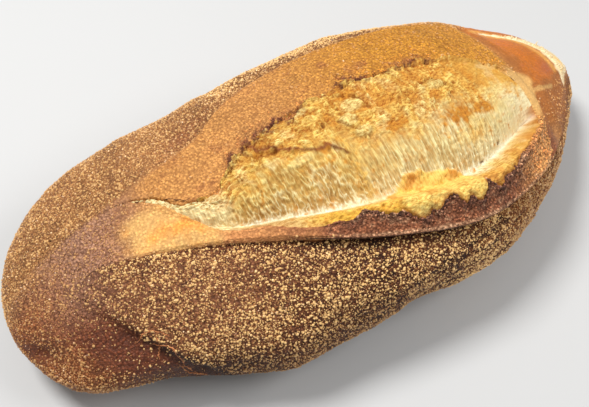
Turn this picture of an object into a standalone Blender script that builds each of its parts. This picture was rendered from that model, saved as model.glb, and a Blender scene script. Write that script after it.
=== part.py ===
"""A large filone: a long, plump white loaf with one slash along its top that opened wide in the oven.

The loaf lies along X on the floor z = 0, with its viewed side towards -Y and its knobbed end at +X.
A point of the crust is named by its place along the loaf and by a section angle in degrees: 0 is the
widest line of the viewed side, 90 the crown, 180 the widest line of the far side and 270 the underside.
Lengths are in metres.
"""
import bmesh
import bpy
import math
import numpy as np
from mathutils import Matrix, Vector

# The whole loaf, at stations along its length
LENGTH = 0.340
STATIONS = (-0.170, -0.110, -0.040, 0.030, 0.100, 0.170)
NEAR_WIDTH = (0.075, 0.078, 0.085, 0.088, 0.075, 0.044)
FAR_WIDTH = (0.0955, 0.080, 0.071, 0.071, 0.064, 0.0485)
HEIGHT = (0.057, 0.070, 0.077, 0.082, 0.074, 0.0615)
WIDEST_AT = 0.42
END_BLUNTNESS = (2.4, 3.0)
SIDE_SHIFT = 0.0080
SIDE_ROUNDNESS = 0.90
FOOT_ROUNDNESS = 0.80
FOOT_DEPTH = 1.12

# Lines on the crust, as places along the loaf and section angles there
CREASE = ((-0.170, 84), (-0.130, 81), (-0.100, 75.5), (-0.060, 64), (-0.010, 45), (0.045, 29), (0.100, 25),
          (0.170, 22))
EAR = ((-0.170, 87), (-0.100, 77.5), (-0.075, 70.5), (-0.040, 62), (0.000, 53.5), (0.040, 44), (0.070, 43),
       (0.105, 49), (0.170, 49))
VALLEY = ((-0.170, 94), (-0.097, 93), (-0.076, 77), (-0.040, 66), (0.000, 59), (0.050, 49.5), (0.105, 52),
          (0.170, 54))
FAR_CUT = ((-0.170, 98), (-0.097, 96), (-0.068, 83.5), (-0.045, 91), (0.000, 97), (0.050, 98), (0.080, 92.5),
           (0.105, 87), (0.170, 87))
FAR_FOLD = ((-0.170, 103), (-0.090, 101), (-0.060, 106), (-0.030, 121), (0.020, 125), (0.170, 130))

# The opened slash: where it starts and ends, and how long it takes to open and close
BLOOM_START = -0.097
BLOOM_OPENS = 0.045
BLOOM_END = 0.109
BLOOM_CLOSES = 0.014
VALLEY_DEPTH = 0.009
VALLEY_DEEPENS = (-0.02, 0.05)
BLOOM_BULGE = 0.0035
EAR_RISE = 0.0035
EAR_GROWS = (-0.080, 0.020)
EAR_SPREAD = 6.0
CUT_EDGE_RISE = 0.0012
CUT_EDGE_SPREAD = 4.0

# The crease under the ear, and the fold on the far side
CREASE_DEPTH = 0.0040
CREASE_LIP = 0.0018
CREASE_SPREAD = 6.0
CREASE_GROWS = (-0.130, -0.030)
CREASE_FADES = (0.080, 0.125)
FOLD_STEP = 0.0024
FOLD_SPREAD = 14.0
FOLD_GROWS = (-0.100, -0.070)
FOLD_FADES = (0.010, 0.120)

# The knobbed end, and the burnished hollow and the notch of the other end
KNOB_AT = 0.114
KNOB_GROOVE = 0.0024
KNOB_GROOVE_REACH = 0.004
KNOB_STEP = 0.0014
KNOB_STEP_LENGTH = 0.012
KNOB_OVER_TOP = (20, 35, 120, 145)
HOLLOW_DEPTH = 0.0050
HOLLOW_TOP = (-0.136, 76)
HOLLOW_FOOT = (-0.098, -4)
HOLLOW_EDGE = (-0.003, 0.005)
HOLLOW_REACH = 0.016
NOTCH_DEPTH = 0.0035
NOTCH_AT = (-0.162, 36)
NOTCH_SPREAD = (0.009, 16)
LUMP_HEIGHT = 0.0004

# Soft swells and dips of the sides: place along the loaf, section angle and height
SWELLS = ((-0.163, 5, -0.0012), (-0.147, 6, 0.005), (-0.110, -15, -0.0035), (-0.062, -12, 0.004),
          (0.005, -10, -0.005), (0.060, -5, 0.0015), (-0.065, 150, -0.0025), (-0.015, 150, 0.0015),
          (0.122, 118, -0.0032), (0.145, 24, -0.0015))
SWELL_LENGTH = 0.018
SWELL_TURN = 22.0
TIP_CALM = 0.012

# The mesh, and the coarse cornmeal on the crust
RINGS = 44
AROUND = (12, 2, 7, 5, 14, 9, 12, 23)
GRAINS = 115
GRAIN_RADIUS = (0.0009, 0.0013)
GRAIN_SPACING = 0.008
GRAIN_SUNK = 0.35
GRAIN_SEED = 7
GRAIN_SHAPE = (1.25, 0.9, 0.85, 1)

HALF = LENGTH / 2


def curve(points, place):
    """A smooth curve through a few (place, value) points."""
    across, value = np.array(points, dtype=float).T
    slope = np.gradient(value, across)
    place = np.clip(place, across[0], across[-1])
    left = np.clip(np.searchsorted(across, place) - 1, 0, len(across) - 2)
    width = across[left + 1] - across[left]
    t = (place - across[left]) / width
    start = (2 * t ** 3 - 3 * t ** 2 + 1) * value[left] + (t ** 3 - 2 * t ** 2 + t) * width * slope[left]
    finish = (3 * t ** 2 - 2 * t ** 3) * value[left + 1] + (t ** 3 - t ** 2) * width * slope[left + 1]
    return start + finish


def ramp(value, low, high):
    """0 up to low and 1 from high on, with a soft start and finish."""
    t = np.clip((value - low) / (high - low), 0, 1)
    return t * t * (3 - 2 * t)


def bump(value, centre, spread):
    """A soft hill of height 1."""
    return np.exp(-((value - centre) / spread) ** 2)


def signed_power(value, power):
    return np.sign(value) * np.abs(value) ** power


def plain_body(x, angle):
    """The loaf without its relief."""
    out = np.clip(np.abs(x) / HALF, 0, 1)
    plan = (1 - out ** np.where(x < 0, *END_BLUNTNESS)) ** (1 / 2.1)
    near = curve(tuple(zip(STATIONS, NEAR_WIDTH)), x) * plan
    far = curve(tuple(zip(STATIONS, FAR_WIDTH)), x) * plan
    height = curve(tuple(zip(STATIONS, HEIGHT)), x)
    middle = WIDEST_AT * height
    rise = (height - middle) * (1 - out ** 3) ** (1 / 2.1)
    drop = middle * (1 - out ** 4) ** (1 / 2) * FOOT_DEPTH
    cosine = np.cos(np.radians(angle))
    sine = np.sin(np.radians(angle))
    roundness = np.where(sine > 0, SIDE_ROUNDNESS, FOOT_ROUNDNESS)
    sideways = signed_power(cosine, roundness)
    upward = signed_power(sine, roundness)
    y = SIDE_SHIFT - sideways * np.where(cosine > 0, near, far)
    z = middle + upward * np.where(sine > 0, rise, drop)
    return np.stack([x + 0 * y, y, z], axis=-1)


def outward(x, angle):
    """The plain body's normal, from two short steps over it."""
    step = 0.0002
    inner = np.clip(x, -HALF + 3 * step, HALF - 3 * step)
    along = plain_body(inner + step, angle) - plain_body(inner - step, angle)
    around = plain_body(inner, angle + 0.2) - plain_body(inner, angle - 0.2)
    normal = np.cross(along, around)
    return normal / np.maximum(np.linalg.norm(normal, axis=-1, keepdims=True), 1e-12)


def bloom_relief(x, angle):
    """The opened slash: the ear's inner face down to the valley, then the torn face up to the far cut."""
    ear, valley, far_cut = curve(EAR, x), curve(VALLEY, x), curve(FAR_CUT, x)
    opens = ramp(x, BLOOM_START, BLOOM_START + BLOOM_OPENS)
    closes = ramp(x, BLOOM_END - BLOOM_CLOSES, BLOOM_END)
    depth = VALLEY_DEPTH * (3 + ramp(x, *VALLEY_DEEPENS)) / 4
    inner_face = ramp(angle, ear, valley)
    up_face = np.clip((angle - valley) / (far_cut - valley), 0, 1)
    floor = -depth * np.where(angle < valley, inner_face, (1 - up_face) ** 1.6)
    bulge = BLOOM_BULGE * np.sin(math.pi * up_face) * (angle < far_cut)
    crest = EAR_RISE * ramp(x, *EAR_GROWS) * bump(angle, ear - 1, EAR_SPREAD) * (1 - 0.6 * inner_face)
    side = np.where(angle < far_cut, -1, 1)
    edge = CUT_EDGE_RISE * side * np.exp(-np.abs(angle - far_cut) / CUT_EDGE_SPREAD)
    return opens * (1 - closes) * (floor + bulge + crest + edge)


def crease_relief(x, angle):
    """The fold under the ear: a groove with the ear's rounded lip hanging over it."""
    away = angle - curve(CREASE, x)
    strength = ramp(x, *CREASE_GROWS) * (1 - ramp(x, *CREASE_FADES))
    height = np.where(away < 0, -CREASE_DEPTH, CREASE_LIP)
    return strength * height * np.exp(-np.abs(away) / CREASE_SPREAD) * (np.abs(away) < 90)


def fold_relief(x, angle):
    """The step where the smooth shoulder lies over the far side."""
    away = angle - curve(FAR_FOLD, x)
    strength = ramp(x, *FOLD_GROWS) * (1 - ramp(x, *FOLD_FADES))
    side = 1 - 2 * ramp(away, -1.5, 1.5)
    return strength * FOLD_STEP / 2 * side * np.exp(-np.abs(away) / FOLD_SPREAD) * (np.abs(away) < 90)


def knob_relief(x, angle):
    """The groove and the step down to the knobbed end, over the top of the loaf."""
    near_start, near_full, far_full, far_end = KNOB_OVER_TOP
    over_top = ramp(angle, near_start, near_full) * (1 - ramp(angle, far_full, far_end))
    groove = KNOB_GROOVE * bump(x, KNOB_AT, KNOB_GROOVE_REACH)
    step = KNOB_STEP * ramp(x, KNOB_AT, KNOB_AT + KNOB_STEP_LENGTH)
    return -over_top * (groove + step)


def hollow_relief(x, angle):
    """The burnished hollow beside the wall of the viewed side, and the notch at the end's foot."""
    share = (angle - HOLLOW_FOOT[1]) / (HOLLOW_TOP[1] - HOLLOW_FOOT[1])
    wall_edge = HOLLOW_FOOT[0] + share * (HOLLOW_TOP[0] - HOLLOW_FOOT[0])
    before = wall_edge - x
    within = ramp(share, -0.25, 0.05) * (1 - ramp(share, 0.55, 1.0))
    hollow = within * ramp(before, *HOLLOW_EDGE) * np.exp(-np.clip(before, 0, 1) / HOLLOW_REACH)
    notch = bump(x, NOTCH_AT[0], NOTCH_SPREAD[0]) * bump(angle, NOTCH_AT[1], NOTCH_SPREAD[1])
    return -HOLLOW_DEPTH * hollow - NOTCH_DEPTH * notch


def side_swells(x, angle):
    """The soft swells and dips that hand shaping left in the sides."""
    height = 0 * x
    for place, swell_angle, swell_height in SWELLS:
        turn = (angle - swell_angle + 180) % 360 - 180
        height = height + swell_height * bump(x, place, SWELL_LENGTH) * bump(turn, 0, SWELL_TURN)
    return height


def lumps(x, angle):
    """Slow unevenness of the whole crust."""
    turn = np.radians(angle)
    wave = np.sin(41 * x + 2 * turn) + np.sin(73 * x - 3 * turn + 1) + 0.7 * np.sin(118 * x + 5 * turn + 2)
    return LUMP_HEIGHT * wave


def crust_point(x, angle):
    """A point of the finished crust."""
    relief = bloom_relief(x, angle) + crease_relief(x, angle) + fold_relief(x, angle)
    relief = relief + knob_relief(x, angle) + hollow_relief(x, angle)
    relief = relief + side_swells(x, angle) + lumps(x, angle)
    relief = relief * ramp(HALF - np.abs(x), 0, TIP_CALM)
    point = plain_body(x, angle) + outward(x, angle) * relief[..., None]
    point[..., 2] = np.maximum(point[..., 2], 0)
    return point


def ring_places():
    """Places of the mesh's rings along the loaf, at equal steps over its rounded plan."""
    x = -HALF * np.cos(np.linspace(0, math.pi, 2001))
    plan = 0.5 * HALF * (1 - (np.abs(x) / HALF) ** 2.4) ** (1 / 2.1)
    travelled = np.concatenate([[0], np.cumsum(np.hypot(np.diff(x), np.diff(plan)))])
    return np.interp(np.linspace(0, travelled[-1], RINGS + 1), travelled, x)


def ring_angles(x):
    """Section angles of one ring's points, with points on every line of the crust."""
    lines = (CREASE, EAR, VALLEY, FAR_CUT, FAR_FOLD)
    crease, ear, valley, far_cut, far_fold = (float(curve(line, x)) for line in lines)
    marks = (0, crease - 1, crease + 0.5, ear, valley, far_cut, far_fold, 180, 360)
    angles = []
    for start, finish, count in zip(marks, marks[1:], AROUND):
        angles.extend(np.linspace(start, finish, count, endpoint=False))
    return np.array(angles)


def new_material(name, colour, roughness):
    material = bpy.data.materials.new(name)
    material.use_nodes = True
    shader = material.node_tree.nodes["Principled BSDF"]
    shader.inputs["Base Color"].default_value = (*colour, 1)
    shader.inputs["Roughness"].default_value = roughness
    shader.inputs["Metallic"].default_value = 0
    return material


def make_loaf(collection):
    """A sphere with its poles along X, each of its points carried to the crust."""
    mesh = bpy.data.meshes.new("loaf")
    shape = bmesh.new()
    segments = sum(AROUND)
    bmesh.ops.create_uvsphere(shape, u_segments=segments, v_segments=RINGS, radius=1)
    places = ring_places()
    angles_of_ring = [ring_angles(x) for x in places]
    angle_layer = shape.verts.layers.float.new("section_angle")
    for vertex in shape.verts:
        ring = round(math.acos(max(-1, min(1, vertex.co.z))) / math.pi * RINGS)
        spoke = round(math.atan2(vertex.co.y, vertex.co.x) / math.tau * segments) % segments
        angle = angles_of_ring[ring][spoke]
        vertex[angle_layer] = angle
        vertex.co = Vector(crust_point(places[ring:ring + 1], np.array([angle]))[0])
    bmesh.ops.triangulate(shape, faces=shape.faces)
    bmesh.ops.recalc_face_normals(shape, faces=shape.faces)
    shape.to_mesh(mesh)
    shape.free()
    mesh.shade_smooth()
    loaf = bpy.data.objects.new("loaf", mesh)
    collection.objects.link(loaf)
    mesh.materials.append(new_material("golden_crust", (0.42, 0.19, 0.06), 0.6))
    return loaf


def coated(x, angle):
    """Where the dough lay in cornmeal: the viewed side below the fold, the -X end and the far side."""
    under_ear = -12 < angle < curve(CREASE, x) - 4 or angle > 348
    far_side = curve(FAR_FOLD, x) + 4 < angle < 172
    return (under_ear or far_side) and -0.158 < x < 0.128


def grain_places(loaf):
    """Seeded, evenly spread places on the loaf's own faces for the largest grains."""
    draw = np.random.default_rng(GRAIN_SEED)
    mesh = loaf.data
    angle_of = [item.value for item in mesh.attributes["section_angle"].data]
    faces = []
    for face in mesh.polygons:
        angles = [angle_of[corner] for corner in face.vertices]
        middle = sum(angles) / len(angles)
        if max(angles) - min(angles) < 60 and coated(face.center.x, middle):
            faces.append(face)
    area = np.array([face.area for face in faces])
    chosen = []
    while len(chosen) < GRAINS:
        face = faces[draw.choice(len(faces), p=area / area.sum())]
        share = draw.dirichlet((1, 1, 1))
        point = sum((mesh.vertices[corner].co * part for corner, part in zip(face.vertices, share)), Vector())
        if all((point - other).length > GRAIN_SPACING for other, _ in chosen):
            chosen.append((point, face.normal.copy()))
    return draw, chosen


def add_grains(loaf):
    """Coarse cornmeal grains, half sunk in the crust and fused to it."""
    cutters = bpy.data.collections.new("grains")
    bpy.context.scene.collection.children.link(cutters)
    draw, chosen = grain_places(loaf)
    for number, (point, normal) in enumerate(chosen):
        radius = draw.uniform(*GRAIN_RADIUS)
        mesh = bpy.data.meshes.new(f"grain_{number}")
        shape = bmesh.new()
        bmesh.ops.create_icosphere(shape, subdivisions=1, radius=radius)
        roll, yaw = draw.uniform(0, math.tau, 2)
        turn = Matrix.Rotation(roll, 4, "X") @ Matrix.Rotation(yaw, 4, "Z")
        place = Matrix.Translation(Vector(point + normal * radius * (1 - 2 * GRAIN_SUNK)))
        bmesh.ops.transform(shape, matrix=place @ turn @ Matrix.Diagonal(GRAIN_SHAPE), verts=shape.verts)
        shape.to_mesh(mesh)
        shape.free()
        grain = bpy.data.objects.new(f"grain_{number}", mesh)
        grain.hide_render = True
        grain.display_type = "WIRE"
        cutters.objects.link(grain)
    join = loaf.modifiers.new("grains", "BOOLEAN")
    join.operation = "UNION"
    join.operand_type = "COLLECTION"
    join.collection = cutters
    join.solver = "EXACT"
    evaluated = loaf.evaluated_get(bpy.context.evaluated_depsgraph_get())
    joined = bpy.data.meshes.new_from_object(evaluated)
    loaf.modifiers.clear()
    loaf.data = joined
    for grain in list(cutters.objects):
        bpy.data.objects.remove(grain)
    bpy.data.collections.remove(cutters)


def main():
    for item in list(bpy.data.objects):
        bpy.data.objects.remove(item)
    collection = bpy.data.collections.new("filone")
    bpy.context.scene.collection.children.link(collection)
    loaf = make_loaf(collection)
    bpy.context.view_layer.update()
    add_grains(loaf)


main()
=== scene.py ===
"""The looks of a large filone: its baked crust, the torn bloom of its slash, and its coat of cornmeal.

The loaf lies along X on the floor z = 0, as in the CAD. A point of the crust is named by its place along
the loaf and by a section angle in degrees: 0 is the widest line of the viewed side, 90 the crown, 180 the
widest line of the far side and 270 the underside. Lengths are in metres unless a name says millimetres.
"""
import itertools
import math

import bmesh
import bpy
import numpy as np
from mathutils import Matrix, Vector


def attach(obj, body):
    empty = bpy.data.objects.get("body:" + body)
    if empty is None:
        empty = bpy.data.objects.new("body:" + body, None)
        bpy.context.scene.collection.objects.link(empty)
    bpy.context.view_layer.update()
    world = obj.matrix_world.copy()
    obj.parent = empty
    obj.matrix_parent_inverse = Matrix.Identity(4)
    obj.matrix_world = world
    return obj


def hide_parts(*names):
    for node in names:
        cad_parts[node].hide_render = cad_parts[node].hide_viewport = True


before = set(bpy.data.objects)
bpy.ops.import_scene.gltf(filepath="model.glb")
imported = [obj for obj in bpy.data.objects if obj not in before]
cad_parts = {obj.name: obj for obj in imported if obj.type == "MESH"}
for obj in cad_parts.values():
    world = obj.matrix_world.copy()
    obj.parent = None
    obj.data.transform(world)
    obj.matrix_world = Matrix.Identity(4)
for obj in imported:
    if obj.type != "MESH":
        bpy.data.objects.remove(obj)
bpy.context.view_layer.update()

# The whole loaf, at stations along its length, as in the CAD
LENGTH = 0.340
STATIONS = (-0.170, -0.110, -0.040, 0.030, 0.100, 0.170)
NEAR_WIDTH = (0.075, 0.078, 0.085, 0.088, 0.075, 0.044)
FAR_WIDTH = (0.0955, 0.080, 0.071, 0.071, 0.064, 0.0485)
HEIGHT = (0.057, 0.070, 0.077, 0.082, 0.074, 0.0615)
WIDEST_AT = 0.42
END_BLUNTNESS = (2.4, 3.0)
SIDE_SHIFT = 0.0080
SIDE_ROUNDNESS = 0.90
FOOT_ROUNDNESS = 0.80
FOOT_DEPTH = 1.12

# Lines on the crust, as places along the loaf and section angles there. The crease, the valley and the
# far cut are drawn a little closer to the photo than in the CAD
CREASE = ((-0.170, 84), (-0.130, 80.5), (-0.100, 74.6), (-0.060, 63), (-0.010, 44.4), (0.045, 28.6),
          (0.100, 25), (0.170, 22))
EAR = ((-0.170, 87), (-0.100, 77.5), (-0.075, 70.5), (-0.040, 62), (0.000, 53.5), (0.040, 44), (0.070, 43),
       (0.105, 49), (0.170, 49))
VALLEY = ((-0.170, 94), (-0.097, 93), (-0.076, 77), (-0.040, 66), (-0.020, 61), (0.000, 57.2), (0.050, 49),
          (0.105, 52), (0.170, 54))
FAR_CUT = ((-0.170, 98), (-0.097, 96), (-0.068, 83.5), (-0.045, 90.5), (0.000, 95.7), (0.030, 95.5),
           (0.052, 93.5), (0.080, 89.5), (0.095, 84), (0.105, 79), (0.170, 76))
FAR_FOLD = ((-0.170, 103), (-0.090, 101), (-0.060, 106), (-0.030, 121), (0.020, 125), (0.170, 130))

# The opened slash: where it starts and ends, and how long it takes to open and close
BLOOM_START = -0.097
BLOOM_OPENS = 0.045
BLOOM_END = 0.109
BLOOM_CLOSES = 0.014
VALLEY_DEPTH = 0.009
VALLEY_DEEPENS = (-0.02, 0.05)
BLOOM_BULGE = 0.0035
EAR_RISE = 0.0035
EAR_GROWS = (-0.080, 0.020)
EAR_SPREAD = 6.0
CUT_EDGE_RISE = 0.0012
CUT_EDGE_SPREAD = 4.0

# The crease under the ear, and the fold on the far side
CREASE_DEPTH = 0.0040
CREASE_LIP = 0.0018
CREASE_SPREAD = 6.0
CREASE_GROWS = (-0.130, -0.030)
CREASE_FADES = (0.080, 0.125)
FOLD_STEP = 0.0024
FOLD_SPREAD = 14.0
FOLD_GROWS = (-0.100, -0.070)
FOLD_FADES = (0.010, 0.120)

# The knobbed end, and the burnished hollow and the notch of the other end
KNOB_AT = 0.114
KNOB_GROOVE = 0.0024
KNOB_GROOVE_REACH = 0.004
KNOB_STEP = 0.0014
KNOB_STEP_LENGTH = 0.012
KNOB_OVER_TOP = (20, 35, 120, 145)
HOLLOW_DEPTH = 0.0050
HOLLOW_TOP = (-0.136, 76)
HOLLOW_FOOT = (-0.098, -4)
HOLLOW_EDGE = (-0.003, 0.005)
HOLLOW_REACH = 0.016
NOTCH_DEPTH = 0.0035
NOTCH_AT = (-0.162, 36)
NOTCH_SPREAD = (0.009, 16)
LUMP_HEIGHT = 0.0004

# Soft swells and dips of the sides: place along the loaf, section angle and height
SWELLS = ((-0.163, 5, -0.0012), (-0.147, 6, 0.005), (-0.110, -15, -0.0035), (-0.062, -12, 0.004),
          (0.005, -10, -0.005), (0.060, -5, 0.0015), (-0.065, 150, -0.0025), (-0.015, 150, 0.0015),
          (0.122, 118, -0.0032), (0.145, 24, -0.0015))
SWELL_LENGTH = 0.018
SWELL_TURN = 22.0
TIP_CALM = 0.012

# Where another loaf was pulled off the far end: share of the way, place and section angle
TORN_PATH = ((0.0, 0.128, 124), (0.2, 0.141, 114), (0.4, 0.148, 100), (0.6, 0.1505, 84), (0.8, 0.151, 66),
             (1.0, 0.150, 46))
TORN_MIDDLE = (0.150, 88)
TORN_REACH = 0.025

# The pale finger of skin that reaches onto the knobbed end
PALE_FINGER = ((0.1100, 65), (0.1210, 61), (0.1300, 57.5))

# The torn opening in the crust: its lower edge, and larger nicks in its two edges, each as place,
# added angle and half length
OPENING_LOW = ((-0.170, 100), (-0.097, 95.5), (-0.086, 88), (-0.077, 78.5), (-0.067, 70), (-0.051, 64.5),
               (-0.038, 58.5), (-0.023, 54.8), (0.000, 49.6), (0.015, 44), (0.035, 41), (0.055, 38.5),
               (0.070, 41), (0.085, 44), (0.105, 49), (0.170, 50))
LOW_NICKS = ((-0.009, 2.2, 0.006), (0.0115, -3.2, 0.004), (0.0255, 4.2, 0.0038), (0.033, -0.6, 0.002),
             (0.041, -2.0, 0.0035), (0.0480, 4.0, 0.0028), (0.0555, -2.6, 0.0024), (0.076, 1.2, 0.002))
HIGH_NICKS = ((-0.062, -2.0, 0.003), (-0.050, 1.0, 0.004), (-0.013, -3.0, 0.007), (0.002, -0.8, 0.004),
              (0.033, -1.6, 0.006), (0.060, 1.5, 0.005))
OPENING_RIGHT = 0.1045
MM_PER_DEGREE = 1.35
FAR_AWAY = 50

# Fine relief of the crust, and where the far cut's edge burnt: place, half length and strength
FURROW_SIZE = (0.016, 0.0045, 0.0035)
SKIN_PORES = 0.00018
SKIN_WAVES = 0.00045
WALL_WRINKLES = 0.0006
WALL_GRAIN = 0.00035
EAR_BED = 0.0012
CUT_SETTLING = 0.0008
BURNT_PLACES = ((-0.022, 0.018, 1), (-0.048, 0.010, 0.8), (0.022, 0.010, 1), (0.055, 0.014, 1))
BURNT_FULLNESS = 1.3
SKIN_ROLL = 0.0005
SKIN_DIVE = 0.0045

# The ear's own fine strip: where it shows, and its lip and edge as (millimetres across, millimetres out)
EAR_SHOWS = (-0.040, -0.022, 0.100, 0.108)
EAR_LIP = ((2.5, -3.2), (0.8, -2.4), (-0.6, -1.5), (-1.1, -0.6), (-0.8, 0.10), (-0.1, 0.40))
EAR_EDGE = ((-0.5, 0.15), (0.1, -0.10), (0.6, -0.45), (1.1, -1.1), (-0.6, -3.0))

# Meshes: rings along the loaf, and points round it between the lines
CRUST_RINGS = 410
CRUST_AROUND = (30, 54, 9, 14, 12, 28, 30, 36, 26)
RINGS_AT_BLOOM = 1.6
BLOOM_ALONG = 690
BLOOM_ACROSS = 138
BLOOM_MARGIN = 4.5
EAR_ALONG = 700
EAR_ACROSS = 90

HALF = LENGTH / 2


# Shape of the loaf, as in the CAD

def curve(points, place):
    """A smooth curve through a few (place, value) points."""
    across, value = np.array(points, dtype=float).T
    slope = np.gradient(value, across)
    place = np.clip(place, across[0], across[-1])
    left = np.clip(np.searchsorted(across, place) - 1, 0, len(across) - 2)
    width = across[left + 1] - across[left]
    t = (place - across[left]) / width
    start = (2 * t ** 3 - 3 * t ** 2 + 1) * value[left] + (t ** 3 - 2 * t ** 2 + t) * width * slope[left]
    finish = (3 * t ** 2 - 2 * t ** 3) * value[left + 1] + (t ** 3 - t ** 2) * width * slope[left + 1]
    return start + finish


def ramp(value, low, high):
    """0 up to low and 1 from high on, with a soft start and finish."""
    t = np.clip((value - low) / (high - low), 0, 1)
    return t * t * (3 - 2 * t)


def bump(value, centre, spread):
    """A soft hill of height 1."""
    return np.exp(-((value - centre) / spread) ** 2)


def signed_power(value, power):
    return np.sign(value) * np.abs(value) ** power


def plain_body(x, angle):
    """The loaf without its relief."""
    out = np.clip(np.abs(x) / HALF, 0, 1)
    plan = (1 - out ** np.where(x < 0, *END_BLUNTNESS)) ** (1 / 2.1)
    near_width = curve(tuple(zip(STATIONS, NEAR_WIDTH)), x) * plan
    far_width = curve(tuple(zip(STATIONS, FAR_WIDTH)), x) * plan
    height = curve(tuple(zip(STATIONS, HEIGHT)), x)
    middle = WIDEST_AT * height
    rise = (height - middle) * (1 - out ** 3) ** (1 / 2.1)
    drop = middle * (1 - out ** 4) ** (1 / 2) * FOOT_DEPTH
    cosine = np.cos(np.radians(angle))
    sine = np.sin(np.radians(angle))
    roundness = np.where(sine > 0, SIDE_ROUNDNESS, FOOT_ROUNDNESS)
    sideways = signed_power(cosine, roundness)
    upward = signed_power(sine, roundness)
    y = SIDE_SHIFT - sideways * np.where(cosine > 0, near_width, far_width)
    z = middle + upward * np.where(sine > 0, rise, drop)
    return np.stack([x + 0 * y, y, z], axis=-1)


def outward(x, angle):
    """The plain body's normal, from two short steps over it."""
    step = 0.0002
    inner = np.clip(x, -HALF + 3 * step, HALF - 3 * step)
    along = plain_body(inner + step, angle) - plain_body(inner - step, angle)
    around = plain_body(inner, angle + 0.2) - plain_body(inner, angle - 0.2)
    normal = np.cross(along, around)
    return normal / np.maximum(np.linalg.norm(normal, axis=-1, keepdims=True), 1e-12)


def bloom_relief(x, angle):
    """The opened slash: the ear's inner face down to the valley, then the torn face up to the far cut."""
    ear, valley, far_cut = curve(EAR, x), curve(VALLEY, x), curve(FAR_CUT, x)
    opens = ramp(x, BLOOM_START, BLOOM_START + BLOOM_OPENS)
    closes = ramp(x, BLOOM_END - BLOOM_CLOSES, BLOOM_END)
    depth = VALLEY_DEPTH * (3 + ramp(x, *VALLEY_DEEPENS)) / 4
    inner_face = ramp(angle, ear, valley)
    up_face = np.clip((angle - valley) / (far_cut - valley), 0, 1)
    floor = -depth * np.where(angle < valley, inner_face, (1 - up_face) ** 1.6)
    bulge = BLOOM_BULGE * np.sin(math.pi * up_face) * (angle < far_cut)
    crest = EAR_RISE * ramp(x, *EAR_GROWS) * bump(angle, ear - 1, EAR_SPREAD) * (1 - 0.6 * inner_face)
    side = np.where(angle < far_cut, -1, 1)
    edge = CUT_EDGE_RISE * side * np.exp(-np.abs(angle - far_cut) / CUT_EDGE_SPREAD)
    return opens * (1 - closes) * (floor + bulge + crest + edge)


def crease_relief(x, angle):
    """The fold under the ear: a groove with the ear's rounded lip hanging over it."""
    away = angle - curve(CREASE, x)
    strength = ramp(x, *CREASE_GROWS) * (1 - ramp(x, *CREASE_FADES))
    height = np.where(away < 0, -CREASE_DEPTH, CREASE_LIP)
    return strength * height * np.exp(-np.abs(away) / CREASE_SPREAD) * (np.abs(away) < 90)


def fold_relief(x, angle):
    """The step where the smooth shoulder lies over the far side."""
    away = angle - curve(FAR_FOLD, x)
    strength = ramp(x, *FOLD_GROWS) * (1 - ramp(x, *FOLD_FADES))
    side = 1 - 2 * ramp(away, -1.5, 1.5)
    return strength * FOLD_STEP / 2 * side * np.exp(-np.abs(away) / FOLD_SPREAD) * (np.abs(away) < 90)


def knob_relief(x, angle):
    """The groove and the step down to the knobbed end, over the top of the loaf."""
    near_start, near_full, far_full, far_end = KNOB_OVER_TOP
    over_top = ramp(angle, near_start, near_full) * (1 - ramp(angle, far_full, far_end))
    groove = KNOB_GROOVE * bump(x, KNOB_AT, KNOB_GROOVE_REACH)
    step = KNOB_STEP * ramp(x, KNOB_AT, KNOB_AT + KNOB_STEP_LENGTH)
    return -over_top * (groove + step)


def hollow_share(angle):
    """How far up the hollow a section angle lies, from 0 at its foot to 1 at its top."""
    return (angle - HOLLOW_FOOT[1]) / (HOLLOW_TOP[1] - HOLLOW_FOOT[1])


def wall_edge_distance(x, angle):
    """How far a point lies before the slanting edge where the viewed side's thick coat starts."""
    return HOLLOW_FOOT[0] + hollow_share(angle) * (HOLLOW_TOP[0] - HOLLOW_FOOT[0]) - x


def hollow_relief(x, angle):
    """The burnished hollow beside the wall of the viewed side, and the notch at the end's foot."""
    share, before = hollow_share(angle), wall_edge_distance(x, angle)
    within = ramp(share, -0.25, 0.05) * (1 - ramp(share, 0.55, 1.0))
    hollow = within * ramp(before, *HOLLOW_EDGE) * np.exp(-np.clip(before, 0, 1) / HOLLOW_REACH)
    notch = bump(x, NOTCH_AT[0], NOTCH_SPREAD[0]) * bump(angle, NOTCH_AT[1], NOTCH_SPREAD[1])
    return -HOLLOW_DEPTH * hollow - NOTCH_DEPTH * notch


def side_swells(x, angle):
    """The soft swells and dips that hand shaping left in the sides."""
    height = 0 * x
    for place, swell_angle, swell_height in SWELLS:
        turn = (angle - swell_angle + 180) % 360 - 180
        height = height + swell_height * bump(x, place, SWELL_LENGTH) * bump(turn, 0, SWELL_TURN)
    return height


def lumps(x, angle):
    """Slow unevenness of the whole crust."""
    turn = np.radians(angle)
    wave = np.sin(41 * x + 2 * turn) + np.sin(73 * x - 3 * turn + 1) + 0.7 * np.sin(118 * x + 5 * turn + 2)
    return LUMP_HEIGHT * wave


def main_relief(x, angle):
    """All the relief that the CAD has."""
    relief = bloom_relief(x, angle) + crease_relief(x, angle) + fold_relief(x, angle)
    relief = relief + knob_relief(x, angle) + hollow_relief(x, angle)
    return relief + side_swells(x, angle) + lumps(x, angle)


# Unevenness

def make_noise(seed):
    """A seeded smooth noise from -1 to 1 over points measured in cells."""
    draw = np.random.default_rng(seed)
    order = draw.permutation(256)
    level = draw.uniform(-1, 1, 256)

    def noise(points):
        cell = np.floor(points).astype(int)
        share = points - cell
        share = share * share * (3 - 2 * share)
        height = np.zeros(points.shape[:-1])
        for corner in itertools.product((0, 1), repeat=3):
            spot = cell + corner
            hashed = order[(spot[..., 0]) & 255]
            hashed = order[(hashed + spot[..., 1]) & 255]
            hashed = order[(hashed + spot[..., 2]) & 255]
            weight = np.prod(np.where(corner, share, 1 - share), axis=-1)
            height += weight * level[hashed]
        return height

    return noise


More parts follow.
